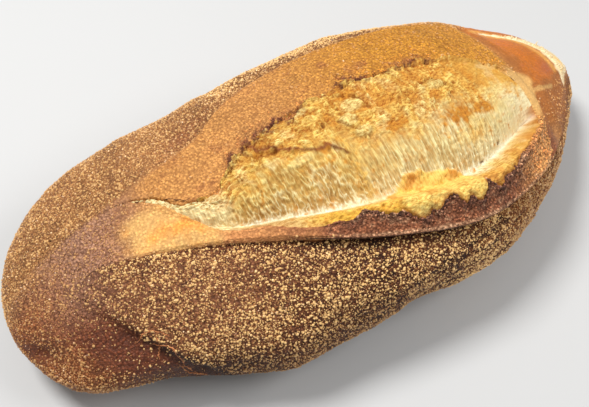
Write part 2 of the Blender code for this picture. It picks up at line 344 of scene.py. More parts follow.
noise = make_noise(11)


def rough(points, size, octaves=3, offset=0.0):
    """Layered noise whose largest lumps are about size wide; size may differ by axis."""
    scaled = points / np.array(size)
    height = 0
    for octave in range(octaves):
        height = height + noise(scaled * 2 ** octave + offset + 17.3 * octave) / 2 ** octave
    return height


def ridges(points, size, octaves=3, offset=0.0):
    """Layered noise folded into sharp ridges, from 0 to about 1."""
    scaled = points / np.array(size)
    height = 0
    for octave in range(octaves):
        valley = np.abs(noise(scaled * 2 ** octave + offset + 9.1 * octave)) * 1.6
        height = height + (1 - valley) / 2 ** octave
    return height / (2 - 2 ** (1 - octaves))


def nicks(x, list_of_nicks):
    shift = 0 * x
    for place, added, reach in list_of_nicks:
        shift = shift + added * bump(x, place, reach)
    return shift


def line_distance(x, angle, line):
    """How far a point lies from a jointed line on the crust, in millimetres."""
    nearest = np.full(np.shape(x), 1000.0)
    for start, finish in zip(line, line[1:]):
        along = (finish[0] - start[0]) * 1000
        up = (finish[1] - start[1]) * MM_PER_DEGREE
        east, north = (x - start[0]) * 1000, (angle - start[1]) * MM_PER_DEGREE
        share = np.clip((east * along + north * up) / (along ** 2 + up ** 2), 0, 1)
        nearest = np.minimum(nearest, np.hypot(east - share * along, north - share * up))
    return nearest


def low_edge(x):
    """Section angle of the opening's lower edge, ragged where the ear burnt."""
    strip = np.stack([x, 0 * x, 0 * x], axis=-1)
    ragged = 0.35 + ramp(x, -0.030, 0.010)
    rag = 0.75 * rough(strip, 0.0040, 4, 3.0) + 0.8 * (ridges(strip, 0.0030, 2, 6.0) - 0.6)
    rag = rag + 0.45 * rough(strip, 0.0014, 2, 5.0)
    return curve(OPENING_LOW, x) + nicks(x, LOW_NICKS) + ragged * rag / MM_PER_DEGREE


def high_edge(x):
    """Section angle of the opening's upper edge, along the far cut."""
    strip = np.stack([x, 0 * x, 0 * x], axis=-1)
    return curve(FAR_CUT, x) + nicks(x, HIGH_NICKS) - 1.2 * rough(strip, 0.005, 4, 8.0) / MM_PER_DEGREE


def opening_depth(x, angle):
    """How far inside the torn opening a point lies, in millimetres; negative out on the crust."""
    low = (angle - low_edge(x)) * MM_PER_DEGREE
    high = (high_edge(x) - angle) * MM_PER_DEGREE
    right = (OPENING_RIGHT - 0.006 * ramp(angle, 66, 82) - x) * 1000
    return np.minimum(np.minimum(low, high), right)


def ear_presence(x):
    """How much of the ear's own strip stands clear of the crust."""
    start, full, fading, gone = EAR_SHOWS
    return ramp(x, start, full) * (1 - ramp(x, fading, gone))


# Colours, as seen in daylight, from 0 to 255 in each channel

def seen(red, green, blue):
    """A seen colour as linear values."""
    value = np.array([red, green, blue]) / 255
    return np.where(value <= 0.04045, value / 12.92, ((value + 0.055) / 1.055) ** 2.4)


GOLD_CRUST = seen(190, 134, 82)
NEAR_WALL = seen(90, 46, 25)
NEAR_WALL_RIGHT = seen(116, 62, 22)
NEAR_WALL_LEFT = seen(128, 80, 52)
CREASE_SHADE = seen(48, 24, 14)
BURNISHED = seen(108, 54, 32)
VEIN = seen(190, 120, 74)
MAUVE = seen(160, 114, 90)
END_BROWN = seen(134, 76, 40)
END_GOLD = seen(146, 102, 66)
EAR_STRIP = seen(142, 84, 54)
EAR_STRIP_RIGHT = seen(220, 154, 90)
EAR_STRIP_LEFT = seen(200, 134, 80)
# Pale flecks of the ear's strip, and also its painted highlight along the lip's rounded fold
EAR_FLECK_AND_HIGHLIGHT = seen(198, 154, 118)
BURNT_CUT = seen(104, 56, 38)
BURNT = seen(98, 62, 48)
SHOULDER = seen(193, 133, 72)
SHOULDER_TOP = seen(196, 132, 44)
SHOULDER_BROWN = seen(140, 84, 46)
FAR_BAND = seen(138, 92, 54)
FAR_END = seen(146, 98, 58)
BEYOND_BLOOM = seen(208, 164, 100)
KNOB = seen(160, 98, 46)
KNOB_LOW = seen(116, 70, 34)
KNOB_ORANGE = seen(188, 106, 28)
KNOB_RED = seen(176, 96, 58)
TORN_EDGE = seen(246, 228, 186)
GOLD_PATCH = seen(214, 164, 98)
GOLD_SPOT = seen(222, 148, 68)
UNDERSIDE = seen(140, 88, 50)

VALLEY_CREAM = seen(248, 240, 216)
BLOOM_TINT = np.array([0.95, 1.04, 1.06])
BLOOM_CREAM = seen(232, 200, 128)
BLOOM_RIGHT = seen(236, 212, 152)
# Cream of the bloom's pale end and blotches, and also the painted highlight on the stretched strands
BLOOM_END_CREAM_AND_HIGHLIGHT = seen(238, 220, 176)
BLOOM_CORNER = seen(212, 150, 62)
BLOOM_GOLD = seen(238, 194, 100)
STRAND_SHADE = seen(184, 132, 56)
STRAND_SHADE_RIGHT = seen(202, 156, 88)
FLAKE_HIGHLIGHT = seen(252, 220, 140)
FLAKE_SHADE = seen(190, 118, 36)
BLOOM_TOAST = seen(200, 130, 44)
# Painted shadow along the torn face's ledge and in its pits
BLOOM_SHADOW_BROWN = seen(136, 72, 38)
LIP_GOLD = seen(240, 184, 86)
LIP_YELLOW = seen(238, 176, 58)
LIP_BAKED = seen(180, 102, 38)
LIP_TOAST = seen(220, 146, 64)
TONGUE_GOLD = seen(250, 208, 112)
CRUMB = seen(240, 214, 160)
# Painted shade of the cracks and wrinkles
CRACK_SHADE = seen(84, 48, 26)

TAN_GRAIN = seen(214, 150, 92)
PALE_GRAIN = seen(255, 214, 146)


def lay(colour, cover, paint):
    """Colour with paint laid over it where cover is 1."""
    cover = np.clip(cover, 0, 1)[..., None]
    return colour * (1 - cover) + paint * cover


# Zones: a zone's cover is the product of its parts. A part is a number, the name of a value or an earlier
# zone, or one of the measures below, which read a named value, frayed by noises with their weights

def measure(field, part):
    """The value of a part at every point."""
    if isinstance(part, str):
        return field[part]
    return part(field) if callable(part) else part


def frayed(field, value, frays):
    return field[value] + sum(weight * field[noise] for noise, weight in frays.items())


def on(value, *limits, **frays):
    """0 at the first limit and 1 at the second; with four, still 1 at the third and 0 again at the fourth."""
    def cover(field):
        place = frayed(field, value, frays)
        starts = ramp(place, *limits[:2])
        return starts * ramp(place, *limits[:1:-1]) if limits[2:] else starts
    return cover


def peak(value, centre, spread, **frays):
    return lambda field: bump(frayed(field, value, frays), centre, spread)


def near(value, start, reach, **frays):
    """1 up to start, and dying away over about reach beyond it."""
    def cover(field):
        beyond = np.clip(frayed(field, value, frays) - start, 0, FAR_AWAY)
        return np.exp(-beyond / measure(field, reach))
    return cover


def over(value, limit):
    return lambda field: field[value] > limit


def under(value, limit):
    return lambda field: field[value] < limit


def less(share, part):
    return lambda field: 1 - share * measure(field, part)


def more(share, part):
    return lambda field: 1 + share * measure(field, part)


def total(**weights):
    return lambda field: sum(weight * field[name] for name, weight in weights.items())


def clipped(**weights):
    return lambda field: np.clip(total(**weights)(field), 0, 1)


def most(*names):
    return lambda field: np.maximum.reduce([field[name] for name in names])


def fill_zones(field, zones, colour=None):
    """Keeps each zone's cover in the field, and lays the paint of those zones that have one."""
    for name, opacity, paint, *parts in zones:
        field[name] = math.prod(measure(field, part) for part in parts)
        if paint is not None:
            colour = lay(colour, opacity * field[name], paint)
    return colour


# Meshes

def add_piece(name, points, faces, values, material):
    """A mesh piece with its point values, shaded smooth."""
    mesh = bpy.data.meshes.new(name)
    mesh.vertices.add(len(points))
    mesh.vertices.foreach_set("co", points.astype(np.float32).ravel())
    corners = np.concatenate([face.astype(np.int32).ravel() for face in faces])
    counts = np.concatenate([np.full(len(face), face.shape[1], dtype=np.int32) for face in faces])
    mesh.loops.add(len(corners))
    mesh.loops.foreach_set("vertex_index", corners)
    mesh.polygons.add(len(counts))
    starts = np.concatenate([[0], np.cumsum(counts)[:-1]]).astype(np.int32)
    mesh.polygons.foreach_set("loop_start", starts)
    mesh.polygons.foreach_set("loop_total", counts)
    mesh.update(calc_edges=True)
    mesh.validate()
    for label, value in values.items():
        if value.ndim == 2:
            layer = mesh.attributes.new(label, "FLOAT_COLOR", "POINT")
            filled = np.concatenate([value, np.ones((len(value), 1))], axis=1)
            layer.data.foreach_set("color", filled.astype(np.float32).ravel())
        else:
            layer = mesh.attributes.new(label, "FLOAT", "POINT")
            layer.data.foreach_set("value", value.astype(np.float32).ravel())
    mesh.shade_smooth()
    mesh.materials.append(material)
    piece = bpy.data.objects.new(name, mesh)
    bpy.context.scene.collection.objects.link(piece)
    return piece


def add_tube(name, point, values, material, poles=None):
    """A closed piece from rings of points: each ring is a closed loop, and each end is closed by a fan."""
    rings, around = point.shape[:2]
    if poles is None:
        poles = np.stack([point[0].mean(axis=0), point[-1].mean(axis=0)])
    points = np.concatenate([point.reshape(-1, 3), poles])
    index = np.arange(rings * around).reshape(rings, around)
    here, there = index[:-1], index[1:]
    quads = np.stack([here, there, np.roll(there, -1, 1), np.roll(here, -1, 1)], axis=-1).reshape(-1, 4)
    first, last = index[0], index[-1]
    near_fan = np.stack([first, np.roll(first, -1), np.full(around, rings * around)], axis=-1)
    far_fan = np.stack([np.roll(last, -1), last, np.full(around, rings * around + 1)], axis=-1)
    flat_values = {}
    for label, value in values.items():
        ends = np.stack([value[0].mean(axis=0), value[-1].mean(axis=0)])
        flat_values[label] = np.concatenate([value.reshape(rings * around, *value.shape[2:]), ends])
    return add_piece(name, points, (quads, near_fan, far_fan), flat_values, material)


# The crust

def ring_places(count):
    """Places of rings along the loaf, at equal steps over its rounded plan, closer along the bloom."""
    x = -HALF * np.cos(np.linspace(0, math.pi, 4001))
    plan = 0.5 * HALF * (1 - (np.abs(x) / HALF) ** 2.4) ** (1 / 2.1)
    at_bloom = ramp(x, -0.110, -0.090) * (1 - ramp(x, 0.108, 0.125))
    closeness = 1 + (RINGS_AT_BLOOM - 1) * at_bloom[1:]
    travelled = np.concatenate([[0], np.cumsum(np.hypot(np.diff(x), np.diff(plan)) * closeness)])
    return np.interp(np.linspace(0, travelled[-1], count + 1), travelled, x)


def crust_angles(x):
    """Section angles round the loaf for each ring, from underneath round to underneath."""
    crease = curve(CREASE, x)
    low, far_cut, far_fold = curve(OPENING_LOW, x), curve(FAR_CUT, x), curve(FAR_FOLD, x)
    low = np.maximum(low, crease + 4)
    inner_low = low + np.minimum(6, 0.3 * (far_cut - low))
    inner_high = far_cut - np.minimum(7, 0.35 * (far_cut - low))
    far_cut = np.maximum(far_cut, inner_high + 1)
    fixed = [np.full_like(x, value) for value in (-90, -8, 180, 270)]
    marks = [fixed[0], fixed[1], crease - 2.5, crease + 2.5, inner_low, inner_high, far_cut + 5, far_fold + 5,
             fixed[2], fixed[3]]
    angles = []
    for start, finish, count in zip(marks, marks[1:], CRUST_AROUND):
        share = np.arange(count) / count
        angles.append(start[:, None] + (finish - start)[:, None] * share)
    return np.concatenate(angles, axis=1)


def crust_fine_relief(x, angle, point):
    """Blisters, wrinkles and the rolled edge of the opening."""
    inside = opening_depth(x, angle)
    crease, far_cut = curve(CREASE, x), curve(FAR_CUT, x)
    at_high = ramp(angle, far_cut - 12, far_cut - 8)
    roll = SKIN_ROLL * (1 - 0.85 * at_high) * bump(inside, -0.8, 1.6) * (1 - ramp(x, 0.094, 0.102))
    dive = -SKIN_DIVE * ramp(inside, 0.0, 1.3 + 1.2 * at_high)
    open_air = 1 - ramp(inside, -0.5, 1.0)
    skin = SKIN_PORES * rough(point, 0.0032, 2) + SKIN_WAVES * rough(point, 0.014, 2, 5.0)
    wall = ramp(crease - angle, 0, 6) * ramp(angle, -40, -10)
    wrinkles = WALL_WRINKLES * ramp(x, -0.02, 0.06) * wall * ridges(point, FURROW_SIZE, 2, 2.0)
    grainy = WALL_GRAIN * wall * rough(point, 0.0045, 3, 9.0)
    under_ear = -EAR_BED * ear_presence(x) * ramp(angle, crease + 0.5, crease + 1.5) * (angle < far_cut - 8)
    settled = -CUT_SETTLING * at_high * np.exp(-np.abs(angle - far_cut) / CUT_EDGE_SPREAD)
    settled = settled * ramp(x, -0.095, -0.055) * (1 - ramp(x, 0.095, 0.109))
    return roll + dive + settled + open_air * (skin + wrinkles + grainy) + under_ear


def burn_streaks(x):
    """Where the far cut's edge burnt."""
    return sum(strength * bump(x, place, reach) for place, reach, strength in BURNT_PLACES)


def burnt_cut(field):
    """The burnt, speckled edge of the far cut."""
    parts = (BURNT_FULLNESS, near("outside", 1.2, 3.4, patch=1.8, fleck=1.2), over("from_cut", -5),
             clipped(streaks=1.25, fleck=0.35), on("x", -0.060, -0.045), on("speck", -0.5, 0.5, fleck=0.4))
    return np.clip(math.prod(measure(field, part) for part in parts), 0, 1)


# Zones of the crust: name, opacity and paint, then parts. x is the place along the loaf; the from_ values
# and below are degrees past a line; before, past_torn and from_middle are metres; the other from_ values
# millimetres
CRUST_ZONES = (
    ("wall", 1, None, on("below", -0.6, 0.6), on("angle", -60, -30), on("x", -0.150, -0.105)),
    # The near end: brown low down, mauve beside the slash and golden towards the far side
    ("end", 1, END_BROWN, on("x", -0.086, -0.118)),
    ("end_gold", 1, END_GOLD, "end", on("angle", 78, 104, cloud=10)),
    ("mauve", 0.9, MAUVE, peak("x", -0.124, 0.024, cloud=-0.006), on("angle", 44, 66, 96, 122)),
    # The viewed side below the crease
    ("wall_brown", 1, NEAR_WALL, "wall"),
    ("wall_left", 0.8, NEAR_WALL_LEFT, "wall", on("x", -0.030, -0.085, cloud=0.02), on("below", -2, 10),
     on("angle", 2, 26, cloud=5)),
    ("wall_right", 1, NEAR_WALL_RIGHT, "wall", on("x", -0.010, 0.050, cloud=0.02)),
    ("shade", 0.9, CREASE_SHADE, "wall", near("below", 0, 4), on("x", -0.100, -0.020),
     less(0.6, on("x", 0.020, 0.080))),
    # Painted shade in the low lines between the wall's wrinkles
    ("furrow_shade", 0.7, CREASE_SHADE, on("furrows", 0.60, 0.25), "wall", on("x", -0.055, -0.010, cloud=0.02),
     on("x", 0.080, 0.055)),
    ("wall_gold", 1, None, "wall", on("x", 0.035, 0.075, cloud=0.01)),
    # The burnished hollow with its veins, the notch, and painted shade along the wall's edge and foot
    ("hollow", 0.95, BURNISHED, on("before", -0.004, 0.001, 0.016, 0.040, patch=0.002),
     on("share", 1.0, 0.60), on("angle", -45, -20)),
    ("deep", 0.85, BURNISHED * 0.55, peak("x", -0.124, 0.013, cloud=0.003), peak("angle", 42, 15),
     less(1, "wall")),
    ("veins", 0.6, VEIN, "hollow", on("veining", 0.88, 0.98)),
    ("notch", 0.9, BURNISHED * 0.7, peak("x", -0.163, 0.008), peak("angle", 36, 17)),
    ("wall_edge_shade", 0.95, CREASE_SHADE, peak("before", 0.0002, 0.0045), on("angle", -45, -25, 25, 55)),
    # Painted shade low on the viewed side, towards the floor
    ("foot", 0.7, NEAR_WALL * 0.45, "wall", on("angle", 26, -10, cloud=5), less(0.5, "wall_left"),
     less(0.9, on("x", -0.005, 0.035))),
    # The strip up to the ear, and the golden skin before the slash
    ("strip", 1, EAR_STRIP, on("from_crease", -0.8, 0.8), on("from_ear", 3, 0),
     on("x", -0.112, -0.095, 0.104, 0.118)),
    ("strip_left", 1, EAR_STRIP_LEFT, "strip", on("x", -0.025, -0.060, patch=0.010)),
    ("golden", 1, GOLD_PATCH, on("x", -0.113, -0.102, patch=0.004), on("x", -0.064, -0.076, patch=0.003),
     on("below", 0.4, -0.6), on("angle", 92, 88, patch=1)),
    ("large_spot", 1, None, peak("x", -0.078, 0.009), peak("angle", 79, 4)),
    ("small_spot", 1, None, peak("x", -0.090, 0.006), peak("angle", 80, 3)),
    ("spots", 1, GOLD_SPOT, "golden", clipped(large_spot=1, small_spot=1, fleck=0.5, patch=0.3)),
    # The shoulder, the far side and the burnt edge of the far cut
    ("shoulder", 1, SHOULDER, on("from_cut", -8, 0), on("from_fold", 1, -2),
     on("x", -0.100, -0.085, 0.108, 0.118)),
    ("shoulder_top", 1, SHOULDER_TOP, "shoulder", on("x", -0.030, 0.050)),
    ("shoulder_brown", 0.7, SHOULDER_BROWN, "shoulder", on("patch", 0.25, 1.1, fleck=0.5, cloud=0.4)),
    ("far", 1, None, on("from_fold", -1, 2), on("angle", 230, 210)),
    ("far_band", 1, FAR_BAND, "far", on("x", -0.11, -0.05, cloud=0.02)),
    ("far_dark", 0.45, NEAR_WALL, "far", on("from_fold", 4, 11, patch=3),
     on("x", -0.050, -0.010, 0.085, 0.130, cloud=0.015)),
    ("far_red", 0.5, EAR_STRIP, "far", peak("x", -0.060, 0.016), peak("from_fold", 6, 5)),
    ("far_end", 1, FAR_END, "far", on("x", -0.05, -0.11, cloud=0.02)),
    ("burnt_cut", 1, BURNT_CUT, burnt_cut),
    # The far end: a pale band behind the bloom, then the knob and its orange patch with the torn scar
    ("behind_cut", 1, None, on("from_cut", 0, 6), on("x", 0.118, 0.110)),
    ("below_knob", 1, None, on("angle", 44, 30), on("x", 0.126, 0.112)),
    ("knob", 1, KNOB, on("x", 0.101, 0.108, patch=0.002), on("angle", -60, -20),
     on("angle", 160, 132, patch=8, cloud=10),
     less(1, "behind_cut"), less(1, "below_knob")),
    ("knob_low", 1, KNOB_LOW, "knob", on("angle", 40, 18, patch=4)),
    ("bulge", 1, None, peak("angle", 70, 13)),
    ("pale_band", 1, BEYOND_BLOOM, on("x", 0.098, 0.102),
     on("x", 0.1075, 0.1045, bulge=-0.0115, patch=-0.0015), on("angle", 44, 54),
     on("angle", 84, 74, patch=4)),
    ("finger", 0.7, BEYOND_BLOOM, on("from_finger", 2.6, 1.0, fleck=-0.6)),
    ("touched", 1, KNOB_ORANGE, on("x", 0.116, 0.122, patch=0.003), on("angle", 60, 66, patch=2),
     on("angle", 156, 146)),
    ("touched_red", 0.9, KNOB_RED, "touched", peak("x", 0.140, 0.010), peak("angle", 71, 7)),
    ("touched_spots", 0.6, KNOB_RED, "touched", on("patch", 0.2, 1.0, fleck=1)),
    ("scar", 0.9, TORN_EDGE, on("from_torn", 4.5, 3.0, fleck=-1.5)),
    ("torn_face", 0.95, TORN_EDGE, on("past_torn", 0.0, 0.0012), on("angle", 46, 52, patch=3),
     on("from_middle", TORN_REACH, TORN_REACH - 0.003, patch=0.003, fleck=0.0012)),
    ("torn_gold", 0.5, LIP_GOLD, "torn_face", on("fleck", 0.2, 1.0, patch=1)),
    ("torn_rim", 0.6, LIP_GOLD, "touched", peak("from_torn", 7, 2.5)),
    ("underside", 1, UNDERSIDE, on("angle", 215, 240)),
    ("near_underside", 1, UNDERSIDE, on("angle", -45, -62)),
    # Where the cornmeal lies: thick on the viewed side, the ends and the far side, thin on the shoulder
    ("meal_wall", 1, None, "wall", less(0.4, "shade"), less(0.25, on("x", 0.05, -0.05))),
    ("meal_end", 1, None, 0.55, "end", less(0.4, "mauve")),
    ("meal_heel", 1, None, peak("x", -0.147, 0.018), peak("angle", 4, 18)),
    ("meal_far", 1, None, 0.6, "far", more(0.5, "far_dark")),
    ("meal_shoulder", 1, None, 0.07, "shoulder"),
    ("meal_knob", 1, None, 0.12, "knob", on("angle", 62, 52)),
    ("cornmeal", 1, None,
     most("meal_wall", "meal_end", "meal_heel", "meal_far", "meal_shoulder", "meal_knob"),
     less(0.9, "wall_edge_shade"), less(0.5, "furrow_shade"), less(0.4, "foot"), less(0.85, "hollow"),
     less(0.6, "deep"), less(0.9, "notch"), less(1, "strip"), less(1, "golden"), less(1, "touched"),
     less(0.45, on("clumps", 0.6, -0.6, fleck=0.5)), under("inside", -0.5),
     on("angle", -60, -30, 200, 225)),
    ("wall_left_meal", 1, None, "wall", "wall_left"),
    # The grains are less pale under the painted shade at the wall's foot
    ("pale", 1, None, total(everywhere=0.30, wall=0.65, wall_left_meal=-0.20, far=0.25, far_dark=0.4),
     less(0.45, "wall_gold"), less(0.6, "foot")),
    # Satin places, and how grainy the baked skin is
    ("polished", 1, None, "hollow", less(1, "wall_edge_shade")),
    ("gloss", 1, None, clipped(polished=0.9, notch=0.8, touched=0.5, strip=0.25, mauve=0.2)),
    ("end_grit", 1, None, 0.85, "end"),
    ("wall_grit", 1, None, 0.95, "wall"),
    ("far_grit", 1, None, 0.7, "far"),
    ("top_grit", 1, None, most("skin_grit", "end_grit", "wall_grit"), less(0.15, "hollow"),
     less(0.4, "notch"), less(0.3, "golden"), less(1, "shoulder")),
    ("mixed_grit", 1, None, total(top_grit=1, shoulder=0.58)),
    ("grit", 1, None, most("mixed_grit", "far_grit"), less(0.6, "knob"), less(0.1, "touched"),
     less(0.4, "pale_band")),
)
CRUST_MOTTLE = {"everywhere": 1, "cloud": 0.15, "patch": 0.10, "fleck": 0.06}
SKIN_GRIT = 0.5


def crust_looks(x, angle, point):
    """Colour of the crust, and how much cornmeal, grit and gloss it has."""
    torn_line = [spot[1:] for spot in TORN_PATH]
    torn_x, torn_turn = np.array(torn_line)[::-1].T
    torn_middle = plain_body(np.array(TORN_MIDDLE[0]), np.array(TORN_MIDDLE[1]))
    patch = rough(point, 0.009, 3, 6.0)
    field = {
        "x": x, "angle": angle, "everywhere": np.ones_like(x), "skin_grit": np.full_like(x, SKIN_GRIT),
        "cloud": rough(point, 0.030, 3, 1.0), "patch": patch, "fleck": rough(point, 0.0035, 2, 9.0),
        "speck": rough(point, 0.0014, 2, 3.0), "clumps": rough(point, 0.009, 3, 12.0),
        "veining": ridges(point, 0.011, 2, 4.0), "furrows": ridges(point, FURROW_SIZE, 2, 2.0),
        "from_crease": angle - curve(CREASE, x), "below": curve(CREASE, x) - angle + 1.2 * patch,
        "from_ear": angle - curve(EAR, x), "from_cut": angle - curve(FAR_CUT, x),
        "from_fold": angle - curve(FAR_FOLD, x), "inside": opening_depth(x, angle),
        "before": wall_edge_distance(x, angle), "share": hollow_share(angle), "streaks": burn_streaks(x),
        "from_finger": line_distance(x, angle, PALE_FINGER), "from_torn": line_distance(x, angle, torn_line),
        "past_torn": x - np.interp(angle, torn_turn, torn_x),
        "from_middle": np.linalg.norm(point - torn_middle, axis=-1),
    }
    field["outside"] = -field["inside"]
    colour = fill_zones(field, CRUST_ZONES, np.broadcast_to(GOLD_CRUST, point.shape))
    colour = colour * total(**CRUST_MOTTLE)(field)[..., None]
    looks = {name: np.clip(field[name], 0, 1) for name in ("cornmeal", "grit", "gloss", "pale")}
    return looks | {"baked": np.clip(colour, 0, 1), "burnt": field["burnt_cut"]}


def make_crust(material):
    """The closed loaf, from end pole to end pole, with its skin diving under the bloom."""
    places = ring_places(CRUST_RINGS)[1:-1]
    angle = crust_angles(places)
    x = np.broadcast_to(places[:, None], angle.shape)
    body = plain_body(x, angle)
    relief = main_relief(x, angle) + crust_fine_relief(x, angle, body)
    relief = relief * ramp(HALF - np.abs(x), 0, TIP_CALM)
    point = body + outward(x, angle) * relief[..., None]
    point[..., 2] = np.maximum(point[..., 2], 0)
    poles = plain_body(np.array([-HALF, HALF]), np.array([0.0, 0.0]))
    return add_tube("crust", point, crust_looks(x, angle, body), material, poles)


# The ear. Its from_lip is millimetres up from its lip, and its from_edge millimetres down from its crest

EAR_ZONES = (
    ("left", 1, EAR_STRIP_LEFT, on("x", -0.022, -0.050, patch=0.008)),
    ("right", 1, EAR_STRIP_RIGHT, on("x", 0.062, 0.090, patch=0.006)),
    # A painted highlight along the lip's rounded fold
    ("lip_highlight", 0.6, EAR_FLECK_AND_HIGHLIGHT, peak("from_lip", 0.7, 1.0), on("x", -0.05, 0.00)),
    ("light_flecks", 0.45, EAR_FLECK_AND_HIGHLIGHT, on("fleck", 0.1, 0.9)),
    ("wide_burn", 1, None, on("x", 0.010, 0.040), less(0.5, on("x", 0.07, 0.10))),
    ("burn_reach", 1, None, 2.0, more(1.6, "wide_burn")),
    ("burn", 0.9, BURNT, near("from_edge", 0.8, "burn_reach", patch=1.2, fleck=0.9), on("x", -0.040, -0.005),
     less(0.8, on("x", 0.070, 0.090)), on("x", 0.104, 0.097)),
    ("light_specks", 0.9, EAR_FLECK_AND_HIGHLIGHT * 0.8, "burn", on("speck", 0.15, 0.6)),
    ("dark_specks", 0.8, BURNT * 0.35, "burn", on("speck", -0.2, -0.7)),
    # Painted shade under the lip, where it hangs over the crease
    ("under_lip", 0.8, CREASE_SHADE, on("from_lip", 0.2, -0.9)),
    ("crest_crumbs", 1, None, on("from_edge", 2.6, 1.4, fleck=-1.5), on("from_edge", -1.0, -0.3),
     on("x", -0.020, 0.000, 0.094, 0.102)),
    ("strip_crumbs", 1, None, over("from_edge", 0), on("from_lip", 0, 1)),
    ("crumbs", 1, None, total(crest_crumbs=1, strip_crumbs=0.20), "present"),
)
EAR_MOTTLE = {"everywhere": 1, "patch": 0.12, "fleck": 0.10}
EAR_GRIT = 1.0
EAR_GLOSS = 0.3
EAR_BLISTERS = 0.00050
EAR_PORES = 0.00022
EAR_WAVES = 0.0007
BURNT_CREST = 0.0026
BURNT_REACH = 4.5
EAR_STANDS = 0.0004
EAR_SINKS = 0.0010


def make_ear(material):
    """The strip between the crease and the bloom, with its lip, blisters and burnt ragged crest."""
    places = np.linspace(EAR_SHOWS[0], EAR_SHOWS[3], EAR_ALONG)
    lip, edge = curve(CREASE, places), low_edge(places)
    share = np.linspace(0, 1, EAR_ACROSS)[1:-1]
    columns, lifts = [], []
    for across, out in EAR_LIP:
        columns.append(lip + across / MM_PER_DEGREE)
        lifts.append(out)
    for part in share:
        columns.append(lip + (edge - lip) * part)
        lifts.append(0)
    for across, out in EAR_EDGE:
        columns.append(edge + across / MM_PER_DEGREE)
        lifts.append(out)
    angle = np.stack(columns, axis=1)
    x = np.broadcast_to(places[:, None], angle.shape)
    body = plain_body(x, angle)
    on_strip = np.clip(angle, (lip + 0.3)[:, None], edge[:, None])
    from_edge = (edge[:, None] - angle) * MM_PER_DEGREE
    from_lip = (angle - lip[:, None]) * MM_PER_DEGREE
    open_part = ramp(from_edge, -0.2, 0.4) * ramp(from_lip, -0.5, 0.5)
    burnt_side = np.exp(-np.clip(from_edge, 0, FAR_AWAY) / BURNT_REACH) * ramp(x, -0.035, 0.005)
    blisters = EAR_BLISTERS * rough(body, 0.0040, 3, 4.0) + EAR_PORES * rough(body, 0.0014, 2, 3.0)
    crusty = BURNT_CREST * burnt_side * (ridges(body, 0.0020, 3, 2.0) - 0.45)
    lump_line = EAR_WAVES * rough(body, 0.010, 2, 7.0)
    present = ear_presence(x)
    lift = EAR_STANDS * present - EAR_SINKS * (1 - present)
    relief = main_relief(x, on_strip) + np.array(lifts) / 1000
    relief = relief + open_part * (blisters + crusty + lump_line) + lift
    point = body + outward(x, angle) * relief[..., None]

    field = {"x": x, "from_lip": from_lip, "from_edge": from_edge, "present": present,
             "patch": rough(body, 0.009, 3, 6.0), "fleck": rough(body, 0.0030, 3, 9.0),
             "speck": rough(body, 0.0013, 2, 4.0), "everywhere": np.ones_like(x)}
    colour = fill_zones(field, EAR_ZONES, np.broadcast_to(EAR_STRIP, point.shape))
    colour = colour * total(**EAR_MOTTLE)(field)[..., None]
    values = {"baked": np.clip(colour, 0, 1), "burnt": field["crumbs"], "grit": np.full_like(x, EAR_GRIT),
              "gloss": np.full_like(x, EAR_GLOSS)}
    return add_tube("ear", point, values, material)


# The bloom

LEDGE = ((-0.042, 92), (-0.034, 88.5), (-0.026, 84.5), (-0.016, 80.5), (-0.007, 78), (-0.002, 73))
COLUMN_AT = -0.002
TONGUE_TOP = ((-0.006, 54), (0.006, 57), (0.018, 61), (0.029, 58), (0.043, 52.5), (0.050, 46))
PITS = ((-0.005, 86), (0.076, 53), (0.061, 50))
TOAST_PATCHES = ((0.026, 76.5, 0.006, 2.6, 1.0), (0.029, 85, 0.006, 2.0, 0.8),
                 (0.053, 79.5, 0.005, 2.0, 0.9), (0.056, 70.5, 0.008, 3.6, 1.2),
                 (0.072, 69, 0.008, 3.2, 1.0), (0.073, 78, 0.004, 1.5, 0.6),
                 (-0.010, 79.5, 0.006, 1.3, 1.0), (-0.004, 87, 0.005, 1.6, 0.6),
                 (0.016, 91.5, 0.009, 1.6, 0.8), (0.040, 88, 0.012, 2.5, 0.6),
                 (-0.028, 91, 0.010, 2.0, 0.6), (-0.045, 88, 0.008, 1.5, 0.5),
                 (0.066, 87, 0.008, 2.5, 0.5))
PALE_FLAPS = ((0.013, 88, 0.006, 2.2), (0.007, 84, 0.005, 2.4), (0.057, 83.5, 0.005, 2.0),
              (-0.012, 93, 0.006, 1.8), (0.010, 79, 0.005, 2.0), (-0.023, 79.5, 0.008, 1.6))
CURLS = (((0.011, 92.5), (0.016, 91), (0.020, 88), (0.020, 84.5)), ((0.002, 85), (0.005, 82), (0.008, 80)),
         ((0.050, 85.5), (0.055, 86), (0.060, 84.5), (0.062, 82)), ((-0.046, 91), (-0.038, 87), (-0.030, 86)))
FLAP_EDGE = (0.3, 0.6)
CURL_GROOVE = (-0.0009, 0.6)
CURL_LIFT = (0.0006, 1.6, 1.0)


